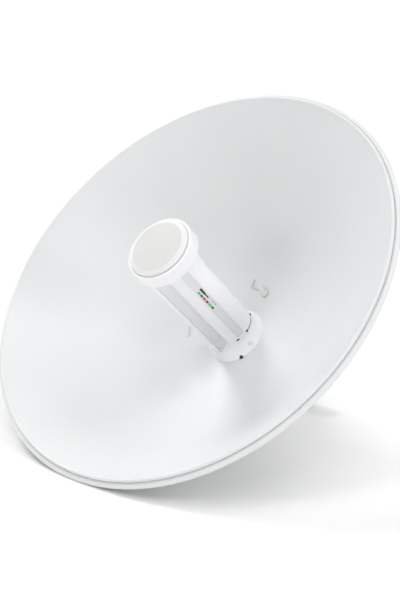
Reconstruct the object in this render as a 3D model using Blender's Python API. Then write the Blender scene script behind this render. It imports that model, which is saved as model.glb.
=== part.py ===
"""Small parabolic dish antenna: a stamped reflector with a plug-in feed and a mast clamp behind it.

It stands on a level floor and leans back on the lowest point of its rim and on the mast clamp.
The pieces are modelled about the dish's own axis: local +Z looks out of the dish, local +Y is up when the
dish looks at the horizon. One empty leans the whole assembly back.
"""

import math

import bmesh
import bpy
from mathutils import Vector

MM = 0.001
GAP = 0.3

# Reflector, in millimetres. Heights are measured from the plane through the outer bead.
RIM_RADIUS = 210.0
APERTURE_RADIUS = 202.0
DISH_DEPTH = 88.0
FOCAL_LENGTH = 112.0
SHEET = 1.2
HUB_HOLE_RADIUS = 22.3
LIP_RADIUS = 1.6
LIP_CENTRE = (203.9, 3.0)
BEAD_RADIUS = 2.8
BEAD_DROP = 1.1
DISH_SEGMENTS = 72

# Feed: a round tube with a narrow keel below it, carried by a socket in the dish's centre.
TUBE_FOOT = -72.2
TUBE_RADIUS = 20.0
KEEL_HALF_WIDTH = 2.5
KEEL_FOOT_DEPTH = 28.5
KEEL_HEAD_DEPTH = 30.7
KEEL_FOOT_ROOT = 62.2
KEEL_HEAD_ROOT = 67.0
SPIGOT_RADIUS = 16.0
SPIGOT_FOOT = -96.0
RING_RADIUS = 32.5
RING_FOOT = 43.6
RING_HEAD = 57.3
RING_EDGE = 1.4
RING_EDGE_STEPS = 4
TUBE_STEPS = 26
CAP_RADIUS = 29.8
CAP_HEIGHT = 3.4
CAP_DOME = 0.3
CAP_EDGE = 0.5
CAP_BAND_RADIUS = 25.2
CAP_BAND_DROP = 1.6
CAP_FOOT_CHAMFER = 0.5
# Height, and how far the crown has widened from the tube to the ring there.
NECK = [
    (TUBE_FOOT, 0.0),
    (-49.0, 0.0),
    (-26.0, 0.0),
    (-2.0, 0.0),
    (8.0, 0.18),
    (18.0, 0.28),
    (26.0, 0.44),
    (32.0, 0.70),
    (37.0, 0.88),
    (41.0, 0.97),
    (RING_FOOT, 1.0),
]
NECK_SHOULDER = 0.3
FLANK_DELAY = 8.0
UNDERSIDE_DELAY = 30.0
# Socket: its head follows the tube, its foot is a circle on the dish's face, a little below the axis.
SOCKET_LEDGE = 0.3
SOCKET_FOOT_RADIUS = 28.5
SOCKET_FOOT_DROP = 4.5
SOCKET_EDGE = 0.5
# Height, and how far the side has spread from the head's outline to the foot's.
SOCKET_FLARE = [
    (-77.5, 0.16),
    (-81.5, 0.44),
]

# Doors in the keel's two flanks: how far they keep from the flank's upper and lower edge.
DOOR_MARGIN = 1.0
DOOR_HEIGHTS = (-69.0, -49.0, -26.0, -2.0, 14.0, 31.5)
DOOR_HEAD_SLANT = 5.5
DOOR_THICKNESS = 1.0
DOOR_SINK = 0.5

STRIP_FOOT = -71.2
STRIP_HEAD = 33.0
STRIP_WIDTH = 7.5
STRIP_ANGLE = 21.0
STRIP_THICKNESS = 0.8
STRIP_SINK = 0.8

# Rear: a hub ring against the dish, a round housing, and the bracket that stands off from them.
HUB_RADIUS = 58.0
HUB_BACK = -99.0
HUB_CHAMFER = 4.0
# Clips on the dish's face: the line that each follows, seen along the axis.
HUB_CLIP_PATHS = (
    ((0.7, 49.7), (4.9, 48.8), (8.2, 46.4), (9.6, 43.2), (7.3, 41.0), (3.8, 41.6), (0.9, 43.7)),
    ((-12.1, 53.3), (-12.4, 46.2), (-3.0, 45.4)),
    ((-53.5, -10.9), (-50.5, -15.2), (-48.3, -20.0)),
)
HUB_CLIP_WIDTH = 1.1
HUB_CLIP_HEIGHT = 0.6
HUB_CLIP_LIFT = 0.5
HOUSING_RADIUS = 30.0
HOUSING_DEPTH = 8.5
HOUSING_EDGE = 3.0
GLAND_RADIUS = 5.0
GLAND_NECK_RADIUS = 3.8
GLAND_NUT_LENGTH = 4.0
GLAND_LENGTH = 9.0
CABLE_RADIUS = 1.8
STANDOFF_RADIUS = 6.0
STANDOFF_LENGTH = 11.0
STANDOFF_REACH = 26.0
PLATE_HOLE = 3.0
STEEL = 2.5
BRACKET_HALF_HEIGHT = 34.0
BRACKET_EAR_HALF_HEIGHT = 17.0
BRACKET_EAR_LENGTH = 24.0
BRACKET_WEB_HALF_WIDTH = 34.0
EAR_OUTSIDE = 17.0
PIVOT_OFFSET = -8.0
SLOT_RADIUS = 16.0
SLOT_HALF_ANGLE = 24.0
CROSS_BOLT_RADIUS = 3.0
CROSS_BOLT_TAIL = 9.0
TILT_HALF_HEIGHT = 15.0
CLAMP_HALF_WIDTH = 26.0
CLAMP_HALF_HEIGHT = 20.0
CLAMP_BOLT_REACH = 20.0
CLAMP_BOLT_RADIUS = 3.0
CLAMP_BOLT_TAIL = 2.0
VEE_HALF_WIDTH = 14.5
VEE_ANGLE = 30.0
MAST_RADIUS = 17.0
SADDLE_SKIN = 3.2
JAW_SKIN = 4.0
CAST_CHAMFER = 3.0
BOLT_HEAD_RADIUS = 5.5
CLAMP_BOLT_HEAD_RADIUS = 5.2
BOLT_HEAD_HEIGHT = 3.6
BOLT_END_CHAMFER = 0.6
NUT_HEIGHT = 5.0
# Cutters are this long, enough to pass all the walls in their way.
LONG_CUT = 80.0

LEAN = 45.0


def surface(radius):
    """Height of the reflecting surface at this radius."""
    return radius**2 / (4 * FOCAL_LENGTH) - DISH_DEPTH


def arc(centre, radius, start, end, steps):
    """Points on an arc, angles in degrees, both ends included."""
    points = []
    for step in range(steps + 1):
        angle = math.radians(start + (end - start) * step / steps)
        points.append((centre[0] + radius * math.cos(angle), centre[1] + radius * math.sin(angle)))
    return points


def reflector_profile():
    """Section of the dish: out along its face, round the lip and the outer bead, and back along its rear."""
    steps = 9
    radii = [HUB_HOLE_RADIUS + (APERTURE_RADIUS - HUB_HOLE_RADIUS) * step / steps for step in range(steps + 1)]
    face = [(radius, surface(radius)) for radius in radii]
    back = []
    for radius in radii[1:]:
        slope = math.atan(radius / (2 * FOCAL_LENGTH))
        back.append((radius + SHEET * math.sin(slope), surface(radius) - SHEET * math.cos(slope)))
    back.insert(0, (HUB_HOLE_RADIUS, surface(HUB_HOLE_RADIUS) - SHEET))
    lip = arc(LIP_CENTRE, LIP_RADIUS, 130, -30, 5)
    bead = arc((RIM_RADIUS - BEAD_RADIUS, -BEAD_DROP), BEAD_RADIUS, 135, -135, 6)
    return face + lip + bead + back[::-1]


PROFILE = reflector_profile()
LEAN_SINE = math.sin(math.radians(LEAN))
LEAN_COSINE = math.cos(math.radians(LEAN))
REST_REACH = max(radius * LEAN_COSINE - height * LEAN_SINE for radius, height in PROFILE)
FRONT_REACH = max(radius * LEAN_SINE + height * LEAN_COSINE for radius, height in PROFILE)
JAW_BACK = -(REST_REACH - CLAMP_HALF_HEIGHT * LEAN_COSINE) / LEAN_SINE
MAST_TO_APEX = MAST_RADIUS / math.cos(math.radians(VEE_ANGLE))
MAST_AXIS = JAW_BACK + JAW_SKIN + MAST_TO_APEX
SADDLE_FRONT = MAST_AXIS + MAST_TO_APEX + SADDLE_SKIN
TILT_WEB_BACK = SADDLE_FRONT + GAP
BRACKET_WEB_FRONT = HUB_BACK - STANDOFF_LENGTH - 2 * GAP
BRACKET_WEB_BACK = BRACKET_WEB_FRONT - STEEL
CROSS_BOLT_HEIGHT = BRACKET_WEB_BACK - BRACKET_EAR_LENGTH + BRACKET_EAR_HALF_HEIGHT


def clear_scene():
    for item in list(bpy.data.objects):
        bpy.data.objects.remove(item)


def material(name, colour, roughness, metallic=0.0):
    finish = bpy.data.materials.new(name)
    finish.use_nodes = True
    shader = finish.node_tree.nodes["Principled BSDF"]
    shader.inputs["Base Color"].default_value = (*colour, 1.0)
    shader.inputs["Roughness"].default_value = roughness
    shader.inputs["Metallic"].default_value = metallic
    return finish


def place(name, shape, finish, smooth=30.0):
    """Turns a bmesh in millimetres into an object carried by the leaning empty."""
    bmesh.ops.recalc_face_normals(shape, faces=shape.faces)
    bmesh.ops.scale(shape, vec=(MM, MM, MM), verts=shape.verts)
    mesh = bpy.data.meshes.new(name)
    shape.to_mesh(mesh)
    shape.free()
    mesh.shade_smooth()
    mesh.set_sharp_from_angle(angle=math.radians(smooth))
    mesh.materials.append(finish)
    piece = bpy.data.objects.new(name, mesh)
    bpy.context.scene.collection.objects.link(piece)
    piece.parent = bpy.data.objects["dish_axis"]
    return piece


def spun(profile, segments):
    """A bmesh turned about local Z from a section of (radius, height) points."""
    shape = bmesh.new()
    points = [shape.verts.new((radius, 0, height)) for radius, height in profile]
    edges = [shape.edges.new(pair) for pair in zip(points, points[1:])]
    if profile[0][0] > 0:
        edges.append(shape.edges.new((points[-1], points[0])))
    bmesh.ops.spin(
        shape,
        geom=points + edges,
        cent=(0, 0, 0),
        axis=(0, 0, 1),
        angle=math.tau,
        steps=segments,
        use_merge=True,
    )
    bmesh.ops.remove_doubles(shape, verts=shape.verts, dist=0.0001)
    return shape


def turned(name, profile, finish, segments=32):
    return place(name, spun(profile, segments), finish)


def extruded(outline, start, reach):
    """A bmesh: a flat outline at start, pulled along reach."""
    shape = bmesh.new()
    corners = [shape.verts.new(Vector(start) + Vector(point)) for point in outline]
    face = shape.faces.new(corners)
    pulled = bmesh.ops.extrude_face_region(shape, geom=[face])
    moved = [item for item in pulled["geom"] if isinstance(item, bmesh.types.BMVert)]
    bmesh.ops.translate(shape, vec=reach, verts=moved)
    return shape


def channel(name, outline, half_height, finish):
    """A section of (x, z) points pulled along local Y."""
    points = [(x, 0, z) for x, z in outline]
    return place(name, extruded(points, (0, -half_height, 0), (0, 2 * half_height, 0)), finish)


def cutter(name, shape, wall):
    """Cuts a shape out of a piece, and leaves the shape itself out of the model."""
    tool = place(name, shape, wall.data.materials[0])
    tool.hide_render = True
    tool.display_type = "WIRE"
    cut = wall.modifiers.new(name, "BOOLEAN")
    cut.operation = "DIFFERENCE"
    cut.solver = "EXACT"
    cut.object = tool
    return tool


def bore(name, wall, radius, centre, direction, length, segments=20):
    """Drills a round hole of this length, centred on a point, along X, Y or Z."""
    shape = spun([(0, -length / 2), (radius, -length / 2), (radius, length / 2), (0, length / 2)], segments)
    turn = {"X": (0, math.pi / 2, 0), "Y": (math.pi / 2, 0, 0), "Z": (0, 0, 0)}[direction]
    tool = cutter(name, shape, wall)
    tool.rotation_euler = turn
    tool.location = Vector(centre) * MM


def make_axis():
    """The empty that leans the dish back and sets it down on the floor."""
    axis = bpy.data.objects.new("dish_axis", None)
    bpy.context.scene.collection.objects.link(axis)
    axis.rotation_euler = (math.radians(90 - LEAN), 0, 0)
    axis.location = (0, (FRONT_REACH - REST_REACH) / 2 * MM, REST_REACH * MM)


def make_reflector(finish):
    turned("reflector", PROFILE, finish, DISH_SEGMENTS)


def keel_edges(height):
    """The right flank's two ends at this height: where it leaves the tube, and the keel's lower corner."""
    share = (height - TUBE_FOOT) / (RING_FOOT - TUBE_FOOT)
    root = math.radians(KEEL_FOOT_ROOT + (KEEL_HEAD_ROOT - KEEL_FOOT_ROOT) * share)
    depth = KEEL_FOOT_DEPTH + (KEEL_HEAD_DEPTH - KEEL_FOOT_DEPTH) * share
    return (TUBE_RADIUS * math.cos(root), -TUBE_RADIUS * math.sin(root)), (KEEL_HALF_WIDTH, -depth)


def tube_section(height):
    """Outline of the feed: a round tube, two straight flanks and the keel's narrow bottom."""
    root, corner = keel_edges(height)
    middle = ((root[0] + corner[0]) / 2, (root[1] + corner[1]) / 2)
    start = math.degrees(math.atan2(root[1], root[0]))
    points = arc((0, 0), TUBE_RADIUS, start, 180 - start, TUBE_STEPS)
    points += [(-middle[0], middle[1]), (-corner[0], corner[1]), corner, middle]
    return points


def round_section(height, radius):
    """A circle whose points lie at the same angles as the tube's section at this height."""
    points = []
    for x, y in tube_section(height):
        scale = radius / math.hypot(x, y)
        points.append((x * scale, y * scale))
    return points


def flared(outline, share):
    """Widens a section towards the ring: fully at the crown, later at the flanks, last on the underside."""
    points = []
    for x, y in outline:
        radius = math.hypot(x, y)
        upward = y / radius
        delay = 1 + FLANK_DELAY * (1 - max(upward, 0)) - UNDERSIDE_DELAY * min(upward, 0)
        wider = radius + (RING_RADIUS - NECK_SHOULDER - radius) * share**delay
        points.append((x * wider / radius, y * wider / radius))
    return points


def lofted(rings, closed=False):
    """A bmesh skinned over rings of (x, y, z) points, with its two ends capped or joined to each other."""
    shape = bmesh.new()
    loops = [[shape.verts.new(point) for point in ring] for ring in rings]
    pairs = list(zip(loops, loops[1:]))
    if closed:
        pairs.append((loops[-1], loops[0]))
    else:
        shape.faces.new(loops[0][::-1])
        shape.faces.new(loops[-1])
    for lower, upper in pairs:
        for index, corner in enumerate(lower):
            after = (index + 1) % len(lower)
            shape.faces.new((corner, lower[after], upper[after], upper[index]))
    return shape


def at_height(outline, height):
    return [(x, y, height) for x, y in outline]


def socket_foot():
    """The foot's outline, a circle below the axis, at the same angles as the tube's section."""
    points = []
    for x, y in tube_section(TUBE_FOOT):
        radius = math.hypot(x, y)
        across = SOCKET_FOOT_DROP * x / radius
        along = -SOCKET_FOOT_DROP * y / radius
        reach = along + math.sqrt(SOCKET_FOOT_RADIUS**2 - across**2)
        points.append((x * reach / radius, y * reach / radius))
    return points


def make_socket(finish):
    """Sleeve in the dish's centre: its flared foot lies on the face, and its neck goes through to the rear."""
    head = TUBE_FOOT - GAP
    bore_outline = round_section(TUBE_FOOT, SPIGOT_RADIUS + GAP)
    neck_radius = HUB_HOLE_RADIUS - GAP
    neck = round_section(TUBE_FOOT, neck_radius)
    foot = socket_foot()
    top = []
    for x, y in tube_section(TUBE_FOOT):
        scale = 1 + SOCKET_LEDGE / math.hypot(x, y)
        top.append((x * scale, y * scale))
    rings = [at_height(bore_outline, head), at_height(top, head)]
    for height, share in SOCKET_FLARE:
        rings.append([(a + (c - a) * share, b + (d - b) * share, height) for (a, b), (c, d) in zip(top, foot)])
    for lift in (GAP + SOCKET_EDGE, GAP):
        rings.append([(x, y, surface(math.hypot(x, y)) + lift) for x, y in foot])
    rings.append(at_height(neck, surface(neck_radius) + GAP))
    rings.append(at_height(neck, HUB_BACK + GAP))
    rings.append(at_height(bore_outline, HUB_BACK + GAP))
    return place("feed_socket", lofted(rings, closed=True), finish)


def make_feed_body(finish):
    """Tube, neck and ring in one moulding, with a spigot that plugs into the socket."""
    spigot = round_section(TUBE_FOOT, SPIGOT_RADIUS)
    rings = [at_height(spigot, SPIGOT_FOOT), at_height(spigot, TUBE_FOOT)]
    for height, share in NECK:
        rings.append(at_height(flared(tube_section(height), share), height))
    rings.append(at_height(round_section(RING_FOOT, RING_RADIUS), RING_FOOT))
    for radius, height in arc((RING_RADIUS - RING_EDGE, RING_HEAD - RING_EDGE), RING_EDGE, 0, 90, RING_EDGE_STEPS):
        rings.append(at_height(round_section(RING_FOOT, radius), height))
    return place("feed_body", lofted(rings), finish, 25)


def make_cap(finish):
    """Round lid with a sloping band about its nearly flat face."""
    foot = RING_HEAD + GAP
    head = foot + CAP_HEIGHT
    profile = [(0, foot), (CAP_RADIUS - CAP_FOOT_CHAMFER, foot), (CAP_RADIUS, foot + CAP_FOOT_CHAMFER)]
    profile += arc((CAP_RADIUS - CAP_EDGE, head - CAP_BAND_DROP - CAP_EDGE), CAP_EDGE, 0, 70, 3)
    profile += [(CAP_BAND_RADIUS, head), (CAP_BAND_RADIUS - CAP_EDGE, head + CAP_EDGE / 10), (0, head + CAP_DOME)]
    turned("feed_cap", profile, finish, 40)


def door_slab(side, grow, near, far):
    """Slab that follows a flank of the keel, between two depths below its surface."""
    rings = []
    for height in DOOR_HEIGHTS:
        level = height
        slant = 0
        if height == DOOR_HEIGHTS[0]:
            level -= grow
        if height == DOOR_HEIGHTS[-1]:
            level += grow
            slant = DOOR_HEAD_SLANT
        root, corner = keel_edges(level)
        along = (Vector(corner) - Vector(root)).normalized()
        inward = Vector((along.y, -along.x))
        upper = Vector(root) + along * (DOOR_MARGIN - grow)
        lower = Vector(corner) - along * (DOOR_MARGIN - grow)
        ring = []
        for edge, depth, rise in ((upper, near, 0), (upper, far, 0), (lower, far, slant), (lower, near, slant)):
            point = edge + inward * depth
            ring.append((side * point.x, point.y, level + rise))
        rings.append(ring)
    return lofted(rings)


def make_port_door(name, side, body, finish):
    """Long door in a flank of the keel, sunk a little below the edges around it."""
    floor = DOOR_SINK + DOOR_THICKNESS
    over = 2.0
    cutter(name + "_pocket", door_slab(side, GAP, -over, floor + GAP), body)
    place(name, door_slab(side, 0, DOOR_SINK, floor), finish)


def make_side_strip(name, side, body, finish):
    """Long strip let into the round tube, a little below its widest line."""
    def slab(grow, thickness):
        half = STRIP_WIDTH / 2 + grow
        outline = [
            (0, -half, STRIP_FOOT - grow),
            (0, half, STRIP_FOOT - grow),
            (0, half, STRIP_HEAD + grow),
            (0, -half, STRIP_HEAD + grow),
        ]
        return extruded(outline, (0, 0, 0), (side * thickness, 0, 0))

    floor = TUBE_RADIUS - STRIP_SINK - STRIP_THICKNESS
    over = 6.0
    turn = math.radians(STRIP_ANGLE)
    outward = Vector((side * math.cos(turn), -math.sin(turn), 0))
    pocket = cutter(name + "_pocket", slab(GAP, over), body)
    strip = place(name, slab(0, STRIP_THICKNESS), finish)
    for piece, depth in ((pocket, floor - GAP), (strip, floor)):
        piece.rotation_euler = (0, 0, -side * turn)
        piece.location = outward * depth * MM


def make_hub_clip(name, path, finish):
    """Thin bent clip on the dish's face that locks the rear hub from the front."""
    points = [Vector(point) for point in path]
    runs = [(after - point).normalized() for point, after in zip(points, points[1:])]
    rings = []
    for point, before, after in zip(points, runs[:1] + runs, runs + runs[-1:]):
        along = (before + after).normalized()
        half = HUB_CLIP_WIDTH / 2 / along.dot(after)
        across = Vector((-along.y, along.x)) * half
        ring = []
        for edge, lift in ((point - across, 0), (point + across, 0), (point + across, 1), (point - across, 1)):
            ring.append((edge.x, edge.y, surface(edge.length) + HUB_CLIP_LIFT + lift * HUB_CLIP_HEIGHT))
        rings.append(ring)
    return place(name, lofted(rings), finish)


def make_hub(finish):
    """Ring that spreads the bracket's load over the back of the dish."""
    def rear(radius):
        slope = math.atan(radius / (2 * FOCAL_LENGTH))
        return surface(radius) - SHEET / math.cos(slope) - GAP

    steps = 5
    radii = [HUB_HOLE_RADIUS + (HUB_RADIUS - HUB_HOLE_RADIUS) * step / steps for step in range(steps + 1)]
    profile = [(radius, rear(radius)) for radius in radii]
    profile += [(HUB_RADIUS, HUB_BACK + HUB_CHAMFER), (HUB_RADIUS - HUB_CHAMFER, HUB_BACK)]
    profile.append((HUB_HOLE_RADIUS, HUB_BACK))
    turned("rear_hub", profile, finish, 48)


def make_housing(finish):
    front = HUB_BACK - GAP
    back = front - HOUSING_DEPTH
    edge = arc((HOUSING_RADIUS - HOUSING_EDGE, back + HOUSING_EDGE), HOUSING_EDGE, 0, -90, 4)
    turned("rear_housing", [(0, front), (HOUSING_RADIUS, front)] + edge + [(0, back)], finish, 40)


def make_gland(finish):
    """Cable inlet on the underside of the rear hub."""
    inlet_foot = GLAND_LENGTH - GLAND_NUT_LENGTH
    profile = [(0, 0), (GLAND_RADIUS, 0), (GLAND_RADIUS, GLAND_NUT_LENGTH)]
    profile += [(GLAND_NECK_RADIUS, GLAND_NUT_LENGTH + 1), (GLAND_NECK_RADIUS, GLAND_LENGTH)]
    profile += [(CABLE_RADIUS, GLAND_LENGTH), (CABLE_RADIUS, inlet_foot), (0, inlet_foot)]
    gland = turned("cable_gland", profile, finish, 24)
    gland.rotation_euler = (math.pi / 2, 0, 0)
    middle = HUB_BACK + HUB_CHAMFER + GLAND_RADIUS + 1
    gland.location = Vector((0, -HUB_RADIUS - GAP, middle)) * MM


def standoff_places():
    return [(x * STANDOFF_REACH, y * STANDOFF_REACH) for x in (-1, 1) for y in (-1, 1)]


def make_standoffs(finish, bolt_finish):
    """Four sleeves between hub and bracket, each with a round-headed bolt through the bracket."""
    front = HUB_BACK - GAP
    back = front - STANDOFF_LENGTH
    sleeve = [(PLATE_HOLE, front), (STANDOFF_RADIUS, front), (STANDOFF_RADIUS, back), (PLATE_HOLE, back)]
    shank = PLATE_HOLE - GAP
    under_head = BRACKET_WEB_BACK - GAP
    top = under_head - BOLT_HEAD_HEIGHT
    bolt = [(0, front - 1), (shank, front - 1), (shank, under_head), (BOLT_HEAD_RADIUS, under_head)]
    bolt += [(BOLT_HEAD_RADIUS, top + 2), (BOLT_HEAD_RADIUS - 1.2, top + 0.4), (0, top)]
    for number, (x, y) in enumerate(standoff_places(), 1):
        for name, profile, colour in (("standoff", sleeve, finish), ("plate_bolt", bolt, bolt_finish)):
            piece = turned(f"{name}_{number}", profile, colour, 20)
            piece.location = (x * MM, y * MM, 0)


def make_mount_bracket(finish):
    """Channel bolted behind the hub. Its two ears carry the pivot and the tilt slot."""
    web = BRACKET_WEB_HALF_WIDTH
    outside = EAR_OUTSIDE
    inside = EAR_OUTSIDE - STEEL
    front = BRACKET_WEB_FRONT
    back = BRACKET_WEB_BACK
    tip = back - BRACKET_EAR_LENGTH
    outline = [
        (-web, front),
        (web, front),
        (web, back),
        (outside, back),
        (outside, tip),
        (inside, tip),
        (inside, back),
        (-inside, back),
        (-inside, tip),
        (-outside, tip),
        (-outside, back),
        (-web, back),
    ]
    bracket = channel("mount_bracket", outline, BRACKET_HALF_HEIGHT, finish)
    trim_ears("bracket_trim", bracket, BRACKET_EAR_HALF_HEIGHT, CROSS_BOLT_HEIGHT, back - GAP, tip)
    for number, (x, y) in enumerate(standoff_places(), 1):
        bore(f"plate_hole_{number}", bracket, PLATE_HOLE, (x, y, (front + back) / 2), "Z", 3 * STEEL)
    pivot = (0, PIVOT_OFFSET, CROSS_BOLT_HEIGHT)
    bore("pivot_hole", bracket, CROSS_BOLT_RADIUS + GAP, pivot, "X", LONG_CUT)
    cut_tilt_slot(bracket)


def trim_ears(name, bracket, half_height, centre, near, tip):
    """Rounds the ears' ends: what lies outside a half circle is cut away on both sides."""
    far = tip - 5
    wide = 2 * BRACKET_HALF_HEIGHT
    for side in (-1, 1):
        curve = arc((0, centre), half_height, 0, -90, 8)
        outline = [(y * side, z) for y, z in curve]
        outline += [(0, far), (side * wide, far), (side * wide, near), (side * half_height, near)]
        points = [(0, y, z) for y, z in outline]
        shape = extruded(points, (-LONG_CUT / 2, 0, 0), (LONG_CUT, 0, 0))
        cutter(f"{name}_{'upper' if side > 0 else 'lower'}", shape, bracket)


def cut_tilt_slot(bracket):
    """Curved slot about the pivot that lets the dish tilt."""
    half_width = CROSS_BOLT_RADIUS + GAP
    pivot = (PIVOT_OFFSET, CROSS_BOLT_HEIGHT)
    turn = math.radians(SLOT_HALF_ANGLE)
    outline = arc(pivot, SLOT_RADIUS + half_width, -SLOT_HALF_ANGLE, SLOT_HALF_ANGLE, 8)
    end = (pivot[0] + SLOT_RADIUS * math.cos(turn), pivot[1] + SLOT_RADIUS * math.sin(turn))
    outline += arc(end, half_width, SLOT_HALF_ANGLE, SLOT_HALF_ANGLE + 180, 6)[1:-1]
    outline += arc(pivot, SLOT_RADIUS - half_width, SLOT_HALF_ANGLE, -SLOT_HALF_ANGLE, 8)
    end = (pivot[0] + SLOT_RADIUS * math.cos(turn), pivot[1] - SLOT_RADIUS * math.sin(turn))
    outline += arc(end, half_width, 180 - SLOT_HALF_ANGLE, 360 - SLOT_HALF_ANGLE, 6)[1:-1]
    points = [(0, y, z) for y, z in outline]
    cutter("tilt_slot", extruded(points, (-LONG_CUT / 2, 0, 0), (LONG_CUT, 0, 0)), bracket)


def make_tilt_bracket(finish):
    """Channel between the ears. Its web carries the mast saddle."""
    outside = EAR_OUTSIDE - STEEL - GAP
    inside = outside - STEEL
    web = CLAMP_HALF_WIDTH
    back = TILT_WEB_BACK
    front = back + STEEL
    tip = BRACKET_WEB_BACK - 1
    outline = [
        (-web, back),
        (web, back),
        (web, front),
        (outside, front),
        (outside, tip),
        (inside, tip),
        (inside, front),
        (-inside, front),
        (-inside, tip),
        (-outside, tip),
        (-outside, front),
        (-web, front),
    ]
    bracket = channel("tilt_bracket", outline, TILT_HALF_HEIGHT, finish)
    for name, y in (("tilt_pivot_hole", PIVOT_OFFSET), ("tilt_lock_hole", PIVOT_OFFSET + SLOT_RADIUS)):
        bore(name, bracket, CROSS_BOLT_RADIUS + GAP, (0, y, CROSS_BOLT_HEIGHT), "X", LONG_CUT)
    for side, x in (("left", -CLAMP_BOLT_REACH), ("right", CLAMP_BOLT_REACH)):
        bore(f"web_hole_{side}", bracket, CLAMP_BOLT_RADIUS + GAP, (x, 0, back), "Z", 4 * STEEL)


def make_cross_bolt(name, offset, finish):
    """Bolt across both pairs of ears, with its nut on the other side."""
    reach = EAR_OUTSIDE + GAP
    top = -reach - BOLT_HEAD_HEIGHT
    wide = BOLT_HEAD_RADIUS
    end = reach + CROSS_BOLT_TAIL
    bolt = turned(name + "_bolt", [(0, top), (wide - 1, top), (wide, top + 1), (wide, -reach)]
                  + shank_profile(CROSS_BOLT_RADIUS, -reach, end), finish, 20)
    nut = hex_nut(name + "_nut", CROSS_BOLT_RADIUS, finish)
    for piece in (bolt, nut):
        piece.rotation_euler = (0, math.pi / 2, 0)
    bolt.location = Vector((0, offset, CROSS_BOLT_HEIGHT)) * MM
    nut.location = Vector((reach, offset, CROSS_BOLT_HEIGHT)) * MM


def shank_profile(radius, start, end):
    """Section of a bolt's shank from under its head to its chamfered end, along local Z."""
    chamfer = math.copysign(BOLT_END_CHAMFER, end - start)
    return [(radius, start), (radius, end - chamfer), (radius - BOLT_END_CHAMFER, end), (0, end)]


def hex_nut(name, thread, finish):
    """Six-sided nut that starts at local Z = 0, bored for its bolt."""
    across = 2.0 * thread
    over = 2.0
    outline = [point + (0,) for point in arc((0, 0), across, 0, 300, 5)]
    nut = place(name, extruded(outline, (0, 0, 0), (0, 0, NUT_HEIGHT)), finish)
    wide = thread + GAP
    shape = spun([(0, -over), (wide, -over), (wide, NUT_HEIGHT + over), (0, NUT_HEIGHT + over)], 20)
    hole = cutter(name + "_hole", shape, nut)
    hole.parent = nut
    return nut


def make_saddle(finish):
    """Cast block with a vee that takes the near side of the mast."""
    depth = VEE_HALF_WIDTH * math.tan(math.radians(VEE_ANGLE))
    apex = SADDLE_FRONT - SADDLE_SKIN
    back = apex - depth
    outline = [
        (-CLAMP_HALF_WIDTH, SADDLE_FRONT),
        (CLAMP_HALF_WIDTH, SADDLE_FRONT),
        (CLAMP_HALF_WIDTH, back + CAST_CHAMFER),
        (CLAMP_HALF_WIDTH - CAST_CHAMFER, back),
        (VEE_HALF_WIDTH, back),
        (0, apex),
        (-VEE_HALF_WIDTH, back),
        (CAST_CHAMFER - CLAMP_HALF_WIDTH, back),
        (-CLAMP_HALF_WIDTH, back + CAST_CHAMFER),
    ]
    saddle = channel("mast_saddle", outline, CLAMP_HALF_HEIGHT, finish)
    drill_clamp_holes(saddle, (SADDLE_FRONT + back) / 2)


def make_jaw(finish):
    """Loose half of the clamp. Its flat back is the antenna's rear foot on the floor."""
    depth = VEE_HALF_WIDTH * math.tan(math.radians(VEE_ANGLE))
    apex = JAW_BACK + JAW_SKIN
    front = apex + depth
    outline = [
        (-CLAMP_HALF_WIDTH, JAW_BACK),
        (-CLAMP_HALF_WIDTH, front - CAST_CHAMFER),
        (CAST_CHAMFER - CLAMP_HALF_WIDTH, front),
        (-VEE_HALF_WIDTH, front),
        (0, apex),
        (VEE_HALF_WIDTH, front),
        (CLAMP_HALF_WIDTH - CAST_CHAMFER, front),
        (CLAMP_HALF_WIDTH, front - CAST_CHAMFER),
        (CLAMP_HALF_WIDTH, JAW_BACK),
    ]
    jaw = channel("mast_jaw", outline, CLAMP_HALF_HEIGHT, finish)
    drill_clamp_holes(jaw, (JAW_BACK + front) / 2)


def drill_clamp_holes(block, middle):
    for side, x in (("left", -CLAMP_BOLT_REACH), ("right", CLAMP_BOLT_REACH)):
        bore(f"{block.name}_hole_{side}", block, CLAMP_BOLT_RADIUS + GAP, (x, 0, middle), "Z", LONG_CUT)


def make_clamp_bolts(finish):
    """Two long bolts that draw the jaw towards the saddle."""
    head_face = TILT_WEB_BACK + STEEL + GAP
    top = head_face + BOLT_HEAD_HEIGHT
    wide = CLAMP_BOLT_HEAD_RADIUS
    nut_face = JAW_BACK - GAP
    end = nut_face - NUT_HEIGHT - CLAMP_BOLT_TAIL
    profile = [(0, top), (wide - 1, top - 0.4), (wide, top - 2), (wide, head_face)]
    profile += shank_profile(CLAMP_BOLT_RADIUS, head_face, end)
    for side, x in (("left", -CLAMP_BOLT_REACH), ("right", CLAMP_BOLT_REACH)):
        bolt = turned(f"clamp_bolt_{side}", profile, finish, 20)
        bolt.location = (x * MM, 0, 0)
        nut = hex_nut(f"clamp_nut_{side}", CLAMP_BOLT_RADIUS, finish)
        nut.location = (x * MM, 0, (nut_face - NUT_HEIGHT) * MM)


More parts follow.
